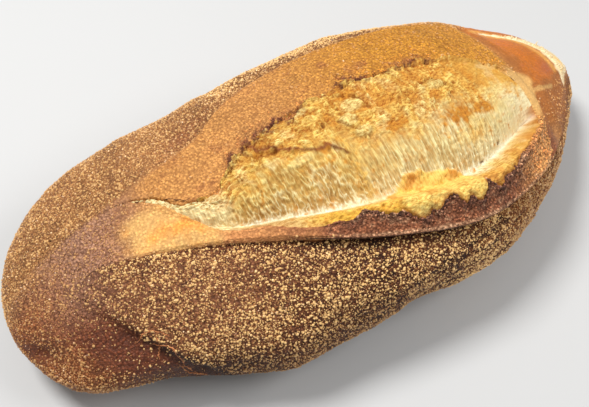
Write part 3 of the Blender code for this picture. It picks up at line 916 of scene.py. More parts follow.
def bloom_parts(x, angle):
    """Where on the bloom a point lies, and the patterns that shape and colour both use."""
    valley, far_cut = curve(VALLEY, x), curve(FAR_CUT, x)
    flat = np.stack([x, angle * MM_PER_DEGREE / 1000, 0 * x], axis=-1)
    up = (angle - valley) / (far_cut - valley)
    cloud = rough(flat, 0.020, 3, 4.0)
    right_side = ramp(x, -0.004, 0.006)
    wavy_up = up + 0.18 * cloud + 0.08 * right_side
    lean = flat.copy()
    lean[..., 0] += 0.0014 * rough(flat, (0.014, 0.014, 1), 2, 2.0)
    lean[..., 0] += 0.0010 * (1 - right_side) * rough(flat, (0.0035, 0.0035, 1), 2, 27.0)
    long_strands = ridges(lean, (0.0009, 0.010, 1), 2, 1.0)
    short_strands = ridges(lean, (0.0012, 0.0034, 1), 3, 12.0)
    strands = long_strands * right_side + short_strands * (1 - right_side)
    strands = 0.65 * strands + 0.35 * ridges(lean, (0.0008, 0.0035, 1), 2, 7.0)
    wisps = flat.copy()
    wisps[..., 0] += 0.0025 * rough(flat, (0.009, 0.009, 1), 2, 31.0)
    wisps[..., 1] += 0.0030 * rough(flat, (0.009, 0.009, 1), 2, 21.0)
    lying = ridges(wisps, (0.0065, 0.0018, 1), 3, 5.0)
    standing = ridges(wisps, (0.0017, 0.0055, 1), 3, 45.0)
    upright = ramp(x + 0.6 * cloud * 0.02, 0.015, 0.050)
    flakes = 0.45 * (lying * (1 - upright) + standing * upright)
    flakes = flakes + 0.30 * ridges(wisps, (0.0022, 0.0016, 1), 2, 15.0)
    flakes = flakes + 0.25 * ridges(flat, (0.0090, 0.0070, 1), 3, 25.0)
    high = ramp(wavy_up, 0.36, 0.68)
    crevices = ramp(ridges(wisps, (0.0052, 0.0040, 1), 2, 33.0), 0.84, 0.96)
    crevices = crevices * high * (1 - ramp(x, 0.070, 0.090))
    fleck = rough(flat, 0.0030, 3, 8.0)
    return {
        "x": x, "angle": angle, "up": up, "everywhere": np.ones_like(x), "crevices": crevices, "cloud": cloud,
        "strands": strands, "flakes": flakes, "fleck": fleck, "fine": rough(flat, 0.0011, 2, 5.0),
        "low": ramp(up, -0.06, 0.08) * (1 - high), "high": high, "lip": ramp(up, 0.04, -0.12),
        "calm_end": ramp(x, 0.055, 0.090), "inside": opening_depth(x, angle), "streaks": burn_streaks(x),
        "from_ledge": angle - curve(LEDGE, x) - 1.2 * rough(flat, 0.006, 2, 1.0),
        "crack": crack_depth(x, angle),
        "on_tongue": tongue_cover(x, angle, fleck), "blotch": rough(flat, 0.0070, 3, 91.0),
        "toasting": rough(flat, 0.010, 2, 51.0), "mottle": rough(flat, 0.0045, 3, 61.0),
        "creamy": rough(flat, 0.0060, 3, 71.0), "lip_noise": rough(flat, 0.0040, 3, 3.0),
        "tongue_noise": rough(flat, 0.0045, 3, 13.0),
    }


def tongue_cover(x, angle, fleck):
    """The golden tongue of thin crust that lies over the valley, in millimetres inside its rim."""
    along = np.minimum(x + 0.004, 0.0495 - x) * 1000
    below_top = (curve(TONGUE_TOP, x) - angle) * MM_PER_DEGREE
    return np.minimum(along, below_top) + 1.1 * fleck


def flaps(field):
    """How far each pale flap of skin lies over a point."""
    for place, middle, length, width in PALE_FLAPS:
        yield ramp(bump(field["x"], place, length) * bump(field["angle"], middle, width), *FLAP_EDGE)


def pits(field, reach):
    """The small round pits of the torn face, each dying away over a reach in millimetres."""
    for place, middle in PITS:
        away = np.hypot((field["x"] - place) * 1000, (field["angle"] - middle) * MM_PER_DEGREE)
        yield bump(away, 0, reach)


def curls(field):
    """How far each point lies from each curled edge, in millimetres."""
    return [line_distance(field["x"], field["angle"], curl) for curl in CURLS]


def curl_relief(field):
    """A groove along each curled edge, with its lifted skin beside it."""
    return sum(bump(away, 0, CURL_GROOVE[1]) * CURL_GROOVE[0] + bump(away, *CURL_LIFT[1:]) * CURL_LIFT[0]
               for away in curls(field))


def together(covers):
    """The cover of one paint laid several times."""
    return 1 - math.prod(1 - cover for cover in covers)


def toasted(field):
    """The toasted patches of the torn face."""
    toast = field["light_toast"]
    for place, middle, length, width, strength in TOAST_PATCHES:
        field["spot"] = bump(field["x"], place, length) * bump(field["angle"], middle, width)
        toast = np.maximum(toast, strength * on("spot", 0.15, 0.85, fleck=0.45, fine=0.25)(field))
    return toast


# The bloom's fine relief: name, height in metres, and parts
BLOOM_RELIEF = (
    ("strand_rise", 0.0014, "low", total(strands=1, everywhere=-0.6), less(0.75, "calm_end")),
    ("flake_rise", 0.0034, "high", total(flakes=1, everywhere=-0.55), less(0.8, "calm_end")),
    ("crevice", -0.0008, "crevices"),
    ("pores", 0.00035, "fine", less(0.7, "calm_end")),
    ("lip_lumps", 0.0007, "lip", "lip_noise"),
    ("lip_flecks", 0.0005, "lip", "fleck"),
    ("under_ledge", -0.0012, on("from_ledge", 0.3, -1.2), less(0.6, on("from_ledge", -2, -16)),
     on("x", -0.046, -0.036, -0.004, 0.000), on("up", 0.0, 0.3)),
    ("column_rise", 0.0010, peak("x", COLUMN_AT, 0.0024, fleck=0.001), on("angle", 55, 61, 74, 82)),
    ("tongue_rise", 0.0012, on("on_tongue", -0.3, 1.2)),
    ("tongue_lumps", 0.0008, on("on_tongue", -0.3, 1.2), "tongue_noise"),
    ("flap_rise", 0.0010, lambda field: sum(flaps(field))),
    ("curl_edges", 1, curl_relief),
    ("pit_depth", -0.0024, lambda field: sum(pits(field, 0.8))),
)


def add_heights(field, rows):
    """The relief of a table of heights and their parts."""
    return sum(height * math.prod(measure(field, part) for part in parts) for _, height, *parts in rows)


def crack_depth(x, angle):
    """The crack under the far cut's edge, before the bloom opens: sunk in, with its shade painted dark."""
    from_edge = (high_edge(x) - angle) * MM_PER_DEGREE
    along = ramp(x, -0.104, -0.096) * (1 - ramp(x, -0.076, -0.068))
    return along * ramp(1.8 - from_edge, 0.0, 1.0)


# Zones of the bloom: up is 0 at the valley and 1 at the far cut; inside and on_tongue are millimetres,
# and from_ledge is degrees past a low ledge of the torn face
BLOOM_ZONES = (
    ("right", 1, BLOOM_RIGHT, on("x", 0.000, 0.030)),
    ("corner_skin", 1, None, on("up", 0.55, 0.85, cloud=0.15, fleck=0.08)),
    ("pale_end", 1, None, less(1, "corner_skin"), on("x", 0.070, 0.092, cloud=0.01)),
    ("gold", 1, BLOOM_GOLD, on("up", 0.22, 0.62, cloud=0.20, fleck=0.10), less(0.7, "pale_end")),
    ("end_cream", 1, BLOOM_END_CREAM_AND_HIGHLIGHT, on("x", 0.082, 0.098, fleck=0.006), on("up", 0.0, 0.2),
     less(1, "corner_skin")),
    ("corner", 0.85, BLOOM_CORNER, "corner_skin", on("x", 0.060, 0.082, fleck=0.005)),
    ("valley_line", 1, None, peak("up", 0.01, 0.050)),
    ("valley_band", 1, None, peak("up", 0.09, 0.12)),
    ("white", 1, VALLEY_CREAM, total(valley_line=0.9, valley_band=0.35), less(0.5, peak("x", -0.002, 0.006)),
     less(0.15, on("strands", 0.8, 0.4))),
    ("cream_blotches", 0.5, BLOOM_END_CREAM_AND_HIGHLIGHT, on("blotch", 0.15, 0.75), less(0.5, "high")),
    # Painted shade between the stretched strands, and painted highlight on them
    ("right_half", 1, None, on("x", -0.004, 0.006)),
    ("calm", 1, None, less(0.15, "right_half"), less(0.75, on("x", 0.050, 0.085))),
    ("deep_strands", 1, None, "calm", on("strands", 0.75, 0.35), "low"),
    ("left_strands", 0.85, STRAND_SHADE, "deep_strands", less(1, "right_half")),
    ("right_strands", 0.85, STRAND_SHADE_RIGHT, "deep_strands", "right_half"),
    ("strand_highlights", 0.5, BLOOM_END_CREAM_AND_HIGHLIGHT, "calm", on("strands", 0.75, 0.95), "low"),
    # Painted shade between the torn flakes and in their crevices, toasted blotches, and painted highlight on
    # the flakes
    ("deep_flakes", 0.85, FLAKE_SHADE, on("flakes", 0.64, 0.38), "high",
     less(0.45, on("toasting", 0.5, -0.5)), less(0.8, on("x", 0.070, 0.090))),
    ("crevice", 0.75, FLAKE_SHADE * 0.7, "crevices"),
    ("toasted_blotches", 0.55, BLOOM_TOAST, on("blotch", -0.20, -0.80), "high", on("x", 0.090, 0.070)),
    ("flake_highlights", 0.7, FLAKE_HIGHLIGHT, on("flakes", 0.62, 0.85), "high"),
    # The ear's golden inner lip, and the tongue of thin crust
    ("inner_lip", 1, None, on("up", 0.00, -0.14, fleck=0.04)),
    ("gold_lip", 1, LIP_GOLD, "inner_lip", on("x", -0.050, -0.020)),
    ("left_lip", 0.6, EAR_STRIP_LEFT, "inner_lip", on("x", -0.020, -0.050)),
    ("tongue", 1, TONGUE_GOLD, on("on_tongue", -0.5, 1.5)),
    ("left_heat", 1, None, peak("x", 0.019, 0.0045), peak("angle", 58.5, 2)),
    ("right_heat", 1, None, peak("x", 0.041, 0.0045), peak("angle", 51.5, 2)),
    ("hot_spots", 1, LIP_TOAST, "tongue", clipped(left_heat=1, right_heat=1, fleck=0.25)),
    ("low_side", 1, None, under("up", 0.2)),
    ("brown_rim", 0.5, LIP_TOAST, near("inside", 0, 1.0, fleck=0.5), "low_side", on("x", -0.03, 0.01)),
    ("gilded", 1, None, most("gold_lip", "tongue")),
    ("mottled_lip", 0.75, LIP_TOAST, "gilded", on("mottle", 0.05, 0.75)),
    ("creamed_lip", 0.35, BLOOM_CREAM, "gilded", on("creamy", -0.15, -0.8)),
    ("rim_reach", 1, None, 2.2, more(1, on("x", 0.050, 0.075))),
    ("baked_rim", 0.8, LIP_BAKED, near("inside", 0, "rim_reach", fleck=1.2), "low_side",
     on("x", -0.02, 0.01)),
    ("yellow_lip", 0.7, LIP_YELLOW, "inner_lip", on("x", -0.040, -0.025, 0.002, 0.008)),
    ("column", 0.55, LIP_GOLD, peak("x", COLUMN_AT, 0.0026, fleck=0.0012), on("angle", 56, 62, 76, 84),
     on("fine", -0.9, 0.3)),
    # Toasted patches, flaps of skin, painted shade along curled edges, the burnt edge of the cut, a painted
    # shadow line along the ledge, and painted shade in the crack and the pits
    ("light_toast", 1, None, 0.35, "gold", on("fleck", 0.2, 0.9, cloud=0.8)),
    ("toast", 1, BLOOM_TOAST, toasted),
    ("flap_skin", 1, BLOOM_CREAM, lambda field: together(0.7 * flap for flap in flaps(field))),
    ("curl_shade", 1, FLAKE_SHADE * 0.6,
     lambda field: together(0.8 * bump(away + 0.35 * field["fleck"], 0, 0.55) for away in curls(field))),
    ("burnt_edge", 1, BURNT_CUT, near("inside", 0.3, 1.2, fleck=1.5), over("up", 0.5), on("fine", -0.5, 0.4),
     clipped(streaks=1.25)),
    # A painted shadow line along the low ledge of the torn face
    ("ledge", 0.9, BLOOM_SHADOW_BROWN, peak("from_ledge", 0.2, 0.6, fleck=-0.4),
     on("x", -0.046, -0.038, -0.004, 0.000)),
    ("crumb", 0.8, CRUMB, on("x", -0.056, -0.070), on("up", 1.0, 0.9)),
    ("crack", 1, CRACK_SHADE, "crack"),
    ("pit_shade", 1, BLOOM_SHADOW_BROWN, lambda field: together(0.8 * pit for pit in pits(field, 0.9))),
    # How grainy the material makes it
    ("valley_calm", 1, None, peak("up", 0.02, 0.06)),
    ("grit", 1, None, clipped(everywhere=0.50, high=0.5, valley_calm=-0.25, lip=0.3),
     less(0.6, on("x", 0.065, 0.090))),
)
BLOOM_MOTTLE = {"everywhere": 1, "cloud": 0.05, "fleck": 0.08, "fine": 0.05}
BLOOM_DIVE = 0.0030
BLOOM_SINK = 0.0003
BLOOM_THICKNESS = 0.006
CUT_CURL = 0.0014
CRACK_DROP = 0.0034


def make_bloom(material):
    """The torn face of the slash: a fine sheet whose back lies inside the loaf."""
    along = np.linspace(BLOOM_START - 0.006, BLOOM_END + 0.001, BLOOM_ALONG)
    share = np.linspace(0, 1, BLOOM_ACROSS)
    low = curve(OPENING_LOW, along) - BLOOM_MARGIN
    high = curve(FAR_CUT, along) + BLOOM_MARGIN
    angle = low[:, None] + (high - low)[:, None] * share
    x = np.broadcast_to(along[:, None], angle.shape)
    body = plain_body(x, angle)
    parts = bloom_parts(x, angle)
    inside = parts["inside"]
    at_high = ramp(parts["up"], 0.5, 0.8)
    dive = -BLOOM_DIVE * (1 - ramp(inside, -1.8 - 1.2 * (1 - at_high), 0.1))
    dive = dive - BLOOM_SINK * (1 - at_high) * (1 - ramp(inside, 0, 6))
    fine = add_heights(parts, BLOOM_RELIEF) * ramp(inside, -2, 1)
    near_cut = np.exp(-np.clip(curve(FAR_CUT, x) - angle, 0, 90) / CUT_EDGE_SPREAD) * ramp(x, -0.095, -0.055)
    fine = fine + CUT_CURL * near_cut * at_high
    relief = main_relief(x, angle) + fine + dive - CRACK_DROP * parts["crack"]
    normal = outward(x, angle)
    point = body + normal * relief[..., None]
    lower = (point - BLOOM_THICKNESS * normal)[:, (-1, 0)]
    point = np.concatenate([point, lower], axis=1)
    colour = fill_zones(parts, BLOOM_ZONES, np.broadcast_to(BLOOM_CREAM, body.shape))
    colour = colour * total(**BLOOM_MOTTLE)(parts)[..., None] * BLOOM_TINT
    values = {"baked": np.clip(colour, 0, 1), "grit": parts["grit"], "stretched": parts["low"]}
    values = {label: np.concatenate([value, value[:, (-1, 0)]], axis=1) for label, value in values.items()}
    return add_tube("bloom", point, values, material)


# Fine raised veins in the hollow, and fine ridges painted dark as the shade in the crust's wrinkles and
# cracks

VEIN_LINES = (((-0.125, 36), (-0.117, 42), (-0.112, 40), (-0.108, 35)),
              ((-0.120, 35), (-0.115, 32), (-0.110, 27), (-0.109, 1), (-0.104, -14)),
              ((-0.114, 40), (-0.1145, 33), (-0.117, 26), (-0.118, 18)),
              ((-0.112, 12), (-0.108, -9), (-0.098, -20)))
WRINKLE_LINES = (((-0.135, 73), (-0.132, 67), (-0.127, 63)),
                 ((-0.109, 118), (-0.105, 108), (-0.101, 100)),
                 ((-0.130, 81), (-0.122, 80.5), (-0.113, 79)),
                 ((-0.098, 96.5), (-0.094, 94), (-0.087, 91), (-0.078, 87), (-0.070, 84)),
                 ((0.1010, 77), (0.1030, 70), (0.1045, 63), (0.1050, 59)))
VEIN_SIZE = (0.0006, 0.0004)
WRINKLE_SIZE = (0.0004, 0.00015)
LINE_RINGS = 120
LINE_SECTION = ((-1.0, -1.6), (-0.7, 0.2), (0.0, 1.0), (0.7, 0.2), (1.0, -1.6))


def make_line(name, line, colour, width, rise, material):
    """A fine ridge that lies on the crust along a line."""
    t = np.linspace(0, 1, LINE_RINGS)
    places, turns = np.array(line).T
    mark = np.linspace(0, 1, len(line))
    x, angle = curve(tuple(zip(mark, places)), t), curve(tuple(zip(mark, turns)), t)
    strip = np.stack([t, t + x[0] * 100, 0 * t], axis=-1)
    x = x + 0.0005 * rough(strip, 0.08, 3, 2.0)
    angle = angle + 0.5 * rough(strip, 0.08, 3, 6.0)
    body = plain_body(x, angle)
    out = outward(x, angle)
    centre = body + out * (main_relief(x, angle) + crust_fine_relief(x, angle, body))[:, None]
    tangent = np.gradient(centre, axis=0)
    side = np.cross(out, tangent / np.linalg.norm(tangent, axis=1, keepdims=True))
    fade = ramp(t, 0, 0.2) * (1 - ramp(t, 0.8, 1)) * np.clip(0.8 + 0.5 * rough(strip, 0.05, 2, 4.0), 0.3, 1.3)
    rows = [centre + (across * width * fade)[:, None] * side + (rise * (high * fade - 0.2))[:, None] * out
            for across, high in LINE_SECTION]
    point = np.stack(rows, axis=1)
    baked = np.broadcast_to(colour, point.shape) * (1 + 0.25 * rough(point, 0.002, 2, 1.0))[..., None]
    values = {"baked": np.clip(baked, 0, 1), "grit": np.full(point.shape[:2], 0.5),
              "gloss": np.full(point.shape[:2], 0.3)}
    return add_tube(name, point, values, material)


# The torn edge of the far end, where another loaf was pulled off

TORN_ALONG = 420
TORN_SECTION = ((-3.6, -1.2), (-2.4, 0.0), (-1.2, 0.5), (-0.5, 0.8), (0.0, 1.0), (0.6, 0.8), (1.4, 0.4),
                (2.4, -0.1), (1.6, -1.5))


def make_torn_edge(material):
    """A frayed crest of pale crumb along the outline of the orange patch."""
    t = np.linspace(0, 1, TORN_ALONG)
    mark, place, turn = np.array(TORN_PATH).T
    x, angle = curve(tuple(zip(mark, place)), t), curve(tuple(zip(mark, turn)), t)
    centre = plain_body(x, angle)
    out = outward(x, angle)
    centre = centre + out * (main_relief(x, angle) * ramp(HALF - np.abs(x), 0, TIP_CALM))[:, None]
    tangent = np.gradient(centre, axis=0)
    tangent = tangent / np.linalg.norm(tangent, axis=1, keepdims=True)
    side = np.cross(out, tangent)
    strip = np.stack([t, 0 * t, 0 * t], axis=-1)
    fade = ramp(t, 0.0, 0.10) * (1 - ramp(t, 0.85, 1.0))
    tall = 0.0008 + 0.0026 * np.clip(ridges(strip, 0.022, 4, 2.0) - 0.25, 0, 1)
    tall = tall + 0.0016 * ramp(rough(strip, 0.012, 2, 5.0), 0.4, 1.0)
    tall = tall * fade
    sway = 0.0012 * rough(strip, 0.016, 3, 9.0)
    rows = []
    for across, height in TORN_SECTION:
        offset = (across / 1000 + sway * max(height, 0))[:, None] * side
        lift = (height * tall if height > 0 else height * 0.0012 + 0 * tall)[:, None] * out
        rows.append(centre + offset + lift - 0.0003 * out)
    point = np.stack(rows, axis=1)
    noise_at = rough(point, 0.0016, 3, 3.0)
    point = point + 0.00025 * noise_at[..., None] * out[:, None]
    colour = np.broadcast_to(TORN_EDGE, point.shape) * (1 + 0.12 * noise_at)[..., None]
    colour = lay(colour, 0.5 * ramp(noise_at, 0.2, 1.0), GOLD_PATCH)
    values = {"baked": np.clip(colour, 0, 1), "grit": np.full(point.shape[:2], 0.3),
              "stretched": np.zeros(point.shape[:2])}
    return add_tube("torn_edge", point, values, material)


# Materials

CRUST_TINTS = ((0.27, 0.17, 0.10), (2.4, 2.8, 3.1))
BLOOM_TINTS = ((0.58, 0.38, 0.18), (1.22, 1.38, 1.60))
CRUMB_TINTS = ((0.75, 0.65, 0.6), (2.4, 2.5, 2.6))


def new_material(name):
    material = bpy.data.materials.new(name)
    material.use_nodes = True
    tree = material.node_tree
    return material, tree, tree.nodes["Principled BSDF"]


def add(tree, kind, **settings):
    """A node with its plain settings and input values."""
    node = tree.nodes.new(kind)
    for label, value in settings.items():
        if label in node.inputs:
            node.inputs[label].default_value = value
        else:
            setattr(node, label, value)
    return node


def join(tree, values, sockets):
    """Links or sets each value at its socket."""
    for value, socket in zip(values, sockets):
        if hasattr(value, "is_output"):
            tree.links.new(value, socket)
        elif hasattr(value, "__len__"):
            socket.default_value = (*value, 1)
        else:
            socket.default_value = value


def attribute(tree, label, output="Fac"):
    return add(tree, "ShaderNodeAttribute", attribute_name=label).outputs[output]


def object_noise(tree, scale, detail=4, roughness=0.6, stretch=(1, 1, 1)):
    place = add(tree, "ShaderNodeTexCoord")
    stretched = add(tree, "ShaderNodeMapping", Scale=stretch)
    pattern = add(tree, "ShaderNodeTexNoise", Scale=scale, Detail=detail, Roughness=roughness)
    tree.links.new(place.outputs["Object"], stretched.inputs["Vector"])
    tree.links.new(stretched.outputs["Vector"], pattern.inputs["Vector"])
    return pattern.outputs["Fac"]


def object_grains(tree, scale):
    """Distance from the middles of scattered grains, and each grain's own random value."""
    place = add(tree, "ShaderNodeTexCoord")
    pattern = add(tree, "ShaderNodeTexVoronoi", Scale=scale)
    tree.links.new(place.outputs["Object"], pattern.inputs["Vector"])
    parts = tree.nodes.new("ShaderNodeSeparateColor")
    tree.links.new(pattern.outputs["Color"], parts.inputs[0])
    return pattern.outputs["Distance"], parts.outputs[0]


def remap(tree, source, low, high, to_low=0.0, to_high=1.0):
    node = tree.nodes.new("ShaderNodeMapRange")
    join(tree, (source, low, high, to_low, to_high), list(node.inputs)[:5])
    return node.outputs["Result"]


def mix_colour(tree, share, first, second, blend="MIX"):
    node = add(tree, "ShaderNodeMix", data_type="RGBA", blend_type=blend)
    join(tree, (share, first, second), (node.inputs[0], node.inputs[6], node.inputs[7]))
    return node.outputs[2]


def reckon(tree, operation, first, second):
    node = add(tree, "ShaderNodeMath", operation=operation)
    join(tree, (first, second), node.inputs)
    return node.outputs[0]


def tinted(tree, baked, tints):
    """The baked colour in its darker and its lighter tint."""
    return [mix_colour(tree, 1.0, baked, tint, "MULTIPLY") for tint in tints]


def bump_from(tree, shader, height, strength, distance):
    node = tree.nodes.new("ShaderNodeBump")
    sockets = (node.inputs["Strength"], node.inputs["Distance"], node.inputs["Height"])
    join(tree, (strength, distance, height), sockets)
    tree.links.new(node.outputs["Normal"], shader.inputs["Normal"])


def crust_material():
    """Baked skin: grainy with fused meal where it has grit, and satin where it is burnished."""
    material, tree, shader = new_material("baked_crust")
    baked = attribute(tree, "baked", "Color")
    grit, gloss = attribute(tree, "grit"), attribute(tree, "gloss")
    distance, own = object_grains(tree, 760)
    grain = remap(tree, distance, 0.22, 0.72, 1.0, 0.0)
    grain = reckon(tree, "MULTIPLY", grain, remap(tree, own, 0.2, 0.9, 0.35, 1.15))
    fine = remap(tree, object_noise(tree, 900, 3, 0.7), 0.38, 0.62)
    height = reckon(tree, "ADD", reckon(tree, "MULTIPLY", grain, 0.65), reckon(tree, "MULTIPLY", fine, 0.35))
    # Lighter on the fused grains and darker in the low gaps: partly the meal's own pale tone, partly painted
    # highlight and shade that follow the bump
    grainy = mix_colour(tree, height, *tinted(tree, baked, CRUST_TINTS))
    tree.links.new(mix_colour(tree, grit, baked, grainy), shader.inputs["Base Color"])
    tree.links.new(remap(tree, gloss, 0, 1, 0.58, 0.30), shader.inputs["Roughness"])
    shader.inputs["Specular IOR Level"].default_value = 0.28
    bump_from(tree, shader, height, remap(tree, grit, 0, 1, 0.3, 1.0), 0.0009)
    return material


def bloom_material():
    """Torn, dry crumb skin: soft, matte and finely pored."""
    material, tree, shader = new_material("torn_bloom")
    baked = attribute(tree, "baked", "Color")
    strands = object_noise(tree, 1, 2, 0.6, (900, 110, 110))
    fibres = object_noise(tree, 1, 3, 0.7, (420, 900, 900))
    fine = mix_colour(tree, attribute(tree, "stretched"), fibres, strands)
    # Darker in the fine fibres' low lines and lighter on their tops: partly the crumb's own streaks, partly
    # painted shade and highlight that follow the bump
    share = remap(tree, fine, 0.36, 0.64)
    grainy = mix_colour(tree, share, *tinted(tree, baked, BLOOM_TINTS))
    tree.links.new(mix_colour(tree, attribute(tree, "grit"), baked, grainy), shader.inputs["Base Color"])
    shader.inputs["Roughness"].default_value = 0.7
    shader.inputs["Specular IOR Level"].default_value = 0.25
    bump_from(tree, shader, fine, 0.7, 0.0006)
    return material


def crumb_material():
    """Small burnt crumbs, a little lighter or darker than the crust that they sit on."""
    material, tree, shader = new_material("burnt_crumb")
    own = remap(tree, attribute(tree, "grain_tone"), 0.55, 1.0)
    baked = attribute(tree, "baked", "Color")
    coloured = mix_colour(tree, own, *tinted(tree, baked, CRUMB_TINTS))
    mottle = remap(tree, object_noise(tree, 2500, 2), 0.3, 0.7, 0.8, 1.1)
    tree.links.new(mix_colour(tree, 1.0, coloured, mottle, "MULTIPLY"), shader.inputs["Base Color"])
    shader.inputs["Roughness"].default_value = 0.6
    return material


def grain_material(name, mostly_baked):
    """Cornmeal, from pale to the brown of the crust that it is baked on."""
    material, tree, shader = new_material(name)
    tone = attribute(tree, "grain_tone")
    crust = mix_colour(tree, 0.45, attribute(tree, "baked", "Color"), tuple(TAN_GRAIN))
    baked_share = remap(tree, tone, mostly_baked, mostly_baked + 0.4, 0.0, 1.0)
    share = reckon(tree, "MULTIPLY", baked_share, attribute(tree, "pale"))
    colour = mix_colour(tree, share, crust, tuple(PALE_GRAIN))
    mottle = remap(tree, object_noise(tree, 2500, 2), 0.3, 0.7, 0.85, 1.08)
    tree.links.new(mix_colour(tree, 1.0, colour, mottle, "MULTIPLY"), shader.inputs["Base Color"])
    shader.inputs["Roughness"].default_value = 0.32
    shader.inputs["Specular IOR Level"].default_value = 0.5
    return material


# Cornmeal and burnt crumbs: how densely and how large they are scattered, a seed for each piece, and from
# which random value on a grain turns from the crust's brown to pale
CRUMBS = {"Per Square Metre": 1.9e6, "Smallest": 0.00022, "Largest": 0.00055, "Seed": 8}
COARSE_GRAINS = {"Per Square Metre": 2.5e5, "Smallest": 0.00034, "Largest": 0.00080}
COARSE_SEEDS = (3, 4)
COARSE_BAKED = 0.25
FINE_GRAINS = {"Per Square Metre": 8.7e5, "Smallest": 0.00029, "Largest": 0.00052}
FINE_SEEDS = (11, 12, 13)
FINE_BAKED = 0.42


def scatter_tree(name, rounder, material, mask="cornmeal"):
    """Geometry Nodes that scatter irregular grains over a surface by its value of that name."""
    tree = bpy.data.node_groups.new(name, "GeometryNodeTree")
    sockets = {}
    for label, kind in (("Surface", "Geometry"), ("Per Square Metre", "Float"), ("Smallest", "Float"),
                        ("Largest", "Float"), ("Seed", "Int")):
        socket = tree.interface.new_socket(label, in_out="INPUT", socket_type="NodeSocket" + kind)
        sockets[label] = socket.identifier
    tree.interface.new_socket("Grains", in_out="OUTPUT", socket_type="NodeSocketGeometry")
    given = tree.nodes.new("NodeGroupInput")
    result = tree.nodes.new("NodeGroupOutput")
    link = tree.links.new

    meal = add(tree, "GeometryNodeInputNamedAttribute", data_type="FLOAT", Name=mask)
    density = reckon(tree, "MULTIPLY", meal.outputs[0], given.outputs["Per Square Metre"])
    spread = add(tree, "GeometryNodeDistributePointsOnFaces", distribute_method="RANDOM")
    join(tree, (given.outputs["Surface"], density, given.outputs["Seed"]),
         (spread.inputs["Mesh"], spread.inputs["Density"], spread.inputs["Seed"]))
    if rounder:
        grain = add(tree, "GeometryNodeMeshIcoSphere", Radius=1.0, Subdivisions=1)
    else:
        grain = add(tree, "GeometryNodeMeshUVSphere", Segments=4, Rings=2, Radius=1.0)
    turn = add(tree, "FunctionNodeRandomValue", data_type="FLOAT_VECTOR")
    turn.inputs["Max"].default_value = (math.tau, math.tau, math.tau)
    size = add(tree, "FunctionNodeRandomValue", data_type="FLOAT")
    join(tree, (given.outputs["Smallest"], given.outputs["Largest"]), (size.inputs[2], size.inputs[3]))
    uneven = add(tree, "FunctionNodeRandomValue", data_type="FLOAT_VECTOR")
    uneven.inputs["Min"].default_value = (0.7, 0.7, 0.7)
    uneven.inputs["Max"].default_value = (1.35, 1.1, 1.0)
    scale = add(tree, "ShaderNodeVectorMath", operation="SCALE")
    join(tree, (uneven.outputs[0], size.outputs[1]), (scale.inputs[0], scale.inputs["Scale"]))
    placed = tree.nodes.new("GeometryNodeInstanceOnPoints")
    join(tree, (spread.outputs["Points"], grain.outputs["Mesh"], turn.outputs[0], scale.outputs[0]),
         [placed.inputs[label] for label in ("Points", "Instance", "Rotation", "Scale")])
    tone = add(tree, "FunctionNodeRandomValue", data_type="FLOAT")
    stored = add(tree, "GeometryNodeStoreNamedAttribute", data_type="FLOAT", domain="INSTANCE",
                 Name="grain_tone")
    join(tree, (placed.outputs["Instances"], tone.outputs[1]),
         (stored.inputs["Geometry"], stored.inputs["Value"]))
    realized = tree.nodes.new("GeometryNodeRealizeInstances")
    link(stored.outputs["Geometry"], realized.inputs["Geometry"])
    dressed = add(tree, "GeometryNodeSetMaterial", Material=material)
    link(realized.outputs["Geometry"], dressed.inputs["Geometry"])
    link(dressed.outputs["Geometry"], result.inputs["Grains"])
    return tree, sockets


def scatter(name, surface, tree, sockets, values):
    """A plain mesh piece of grains over a surface."""
    holder = bpy.data.objects.new(name, surface.data.copy())
    bpy.context.scene.collection.objects.link(holder)
    scattering = holder.modifiers.new("scatter", "NODES")
    scattering.node_group = tree
    for label, value in values.items():
        scattering[sockets[label]] = value
    bpy.context.view_layer.update()
    evaluated = holder.evaluated_get(bpy.context.evaluated_depsgraph_get())
    mesh = bpy.data.meshes.new_from_object(evaluated)
    mesh.name = name
    holder.modifiers.clear()
    holder.data = mesh
    return holder


# Camera, light and floor

CAMERA_AIM = (-0.0239, -0.0059, 0.040)
CAMERA_TURN = -30.9
CAMERA_RISE = 55.0
CAMERA_AWAY = 0.356
CAMERA_VIEW = 45.0
SENSOR_WIDTH = 36.0
ROOM_COLOUR = (1.0, 0.97, 0.92, 1)
ROOM_STRENGTH = 0.35
LIGHTS = (("window", (-0.30, 0.40, 1.05), 0.40, 12.5, (1.0, 0.955, 0.89)),
          ("room", (0.70, -0.50, 0.85), 0.6, 6.0, (1.0, 0.955, 0.90)))
FLOOR_SIZE = 3.0
FLOOR_COLOUR = (0.58, 0.605, 0.64, 1)


def look_at(thing, spot, aim):
    thing.location = spot
    thing.rotation_euler = (Vector(aim) - Vector(spot)).to_track_quat("-Z", "Y").to_euler()


def make_camera():
    camera = bpy.data.objects.new("camera", bpy.data.cameras.new("camera"))
    bpy.context.scene.collection.objects.link(camera)
    turn, rise = math.radians(CAMERA_TURN), math.radians(CAMERA_RISE)
    back = Vector((math.sin(turn) * math.cos(rise), -math.cos(turn) * math.cos(rise), math.sin(rise)))
    look_at(camera, Vector(CAMERA_AIM) + CAMERA_AWAY * back, CAMERA_AIM)
    camera.data.sensor_width = SENSOR_WIDTH
    camera.data.sensor_fit = "HORIZONTAL"
    camera.data.lens = SENSOR_WIDTH / 2 / math.tan(math.radians(CAMERA_VIEW) / 2)
    camera.data.clip_start = 0.01
    bpy.context.scene.camera = camera


def soft_light(name, spot, size, power, colour):
    light = bpy.data.lights.new(name, "AREA")
    light.shape = "DISK"
    light.size = size
    light.energy = power
    light.color = colour
    lamp = bpy.data.objects.new(name, light)
    bpy.context.scene.collection.objects.link(lamp)
    look_at(lamp, spot, (0, 0, 0.03))


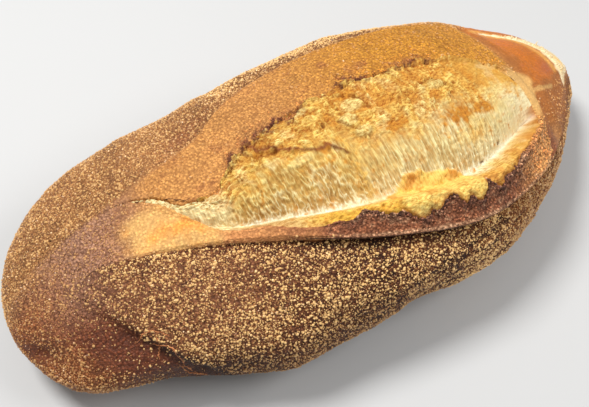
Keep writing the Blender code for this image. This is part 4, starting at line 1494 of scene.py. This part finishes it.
def make_studio():
    world = bpy.data.worlds.new("soft_room")
    world.use_nodes = True
    world.node_tree.nodes["Background"].inputs["Color"].default_value = ROOM_COLOUR
    world.node_tree.nodes["Background"].inputs["Strength"].default_value = ROOM_STRENGTH
    bpy.context.scene.world = world
    for light in LIGHTS:
        soft_light(*light)
    mesh = bpy.data.meshes.new("floor")
    shape = bmesh.new()
    bmesh.ops.create_grid(shape, x_segments=1, y_segments=1, size=FLOOR_SIZE)
    shape.to_mesh(mesh)
    shape.free()
    floor = bpy.data.objects.new("floor", mesh)
    bpy.context.scene.collection.objects.link(floor)
    material, _, shader = new_material("pale_floor")
    shader.inputs["Base Color"].default_value = FLOOR_COLOUR
    shader.inputs["Roughness"].default_value = 0.8
    mesh.materials.append(material)
    bpy.context.scene.view_settings.view_transform = "Standard"


def make_loaf():
    baked_crust, torn_bloom = crust_material(), bloom_material()
    crust, ear = make_crust(baked_crust), make_ear(baked_crust)
    pieces = [crust, ear, make_bloom(torn_bloom), make_torn_edge(torn_bloom)]
    for number, line in enumerate(VEIN_LINES, 1):
        pieces.append(make_line(f"vein_{number}", line, VEIN, *VEIN_SIZE, baked_crust))
    # Dark ridges that stand in for the shade of the crust's wrinkles and cracks
    for number, line in enumerate(WRINKLE_LINES, 1):
        pieces.append(make_line(f"wrinkle_shade_{number}", line, CRACK_SHADE, *WRINKLE_SIZE, baked_crust))
    tree, sockets = scatter_tree("burnt_crumbs", True, crumb_material(), "burnt")
    pieces.append(scatter("crumbs_ear", ear, tree, sockets, CRUMBS))
    pieces.append(scatter("crumbs_cut", crust, tree, sockets, CRUMBS))
    tree, sockets = scatter_tree("coarse_cornmeal", True, grain_material("coarse_grain", COARSE_BAKED))
    for number, seed in enumerate(COARSE_SEEDS, 1):
        values = COARSE_GRAINS | {"Seed": seed}
        pieces.append(scatter(f"cornmeal_coarse_{number}", crust, tree, sockets, values))
    tree, sockets = scatter_tree("fine_cornmeal", False, grain_material("fine_grain", FINE_BAKED))
    for number, seed in enumerate(FINE_SEEDS, 1):
        values = FINE_GRAINS | {"Seed": seed}
        pieces.append(scatter(f"cornmeal_fine_{number}", crust, tree, sockets, values))
    for piece in pieces:
        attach(piece, "root")
    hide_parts("loaf")


make_camera()
make_studio()
make_loaf()
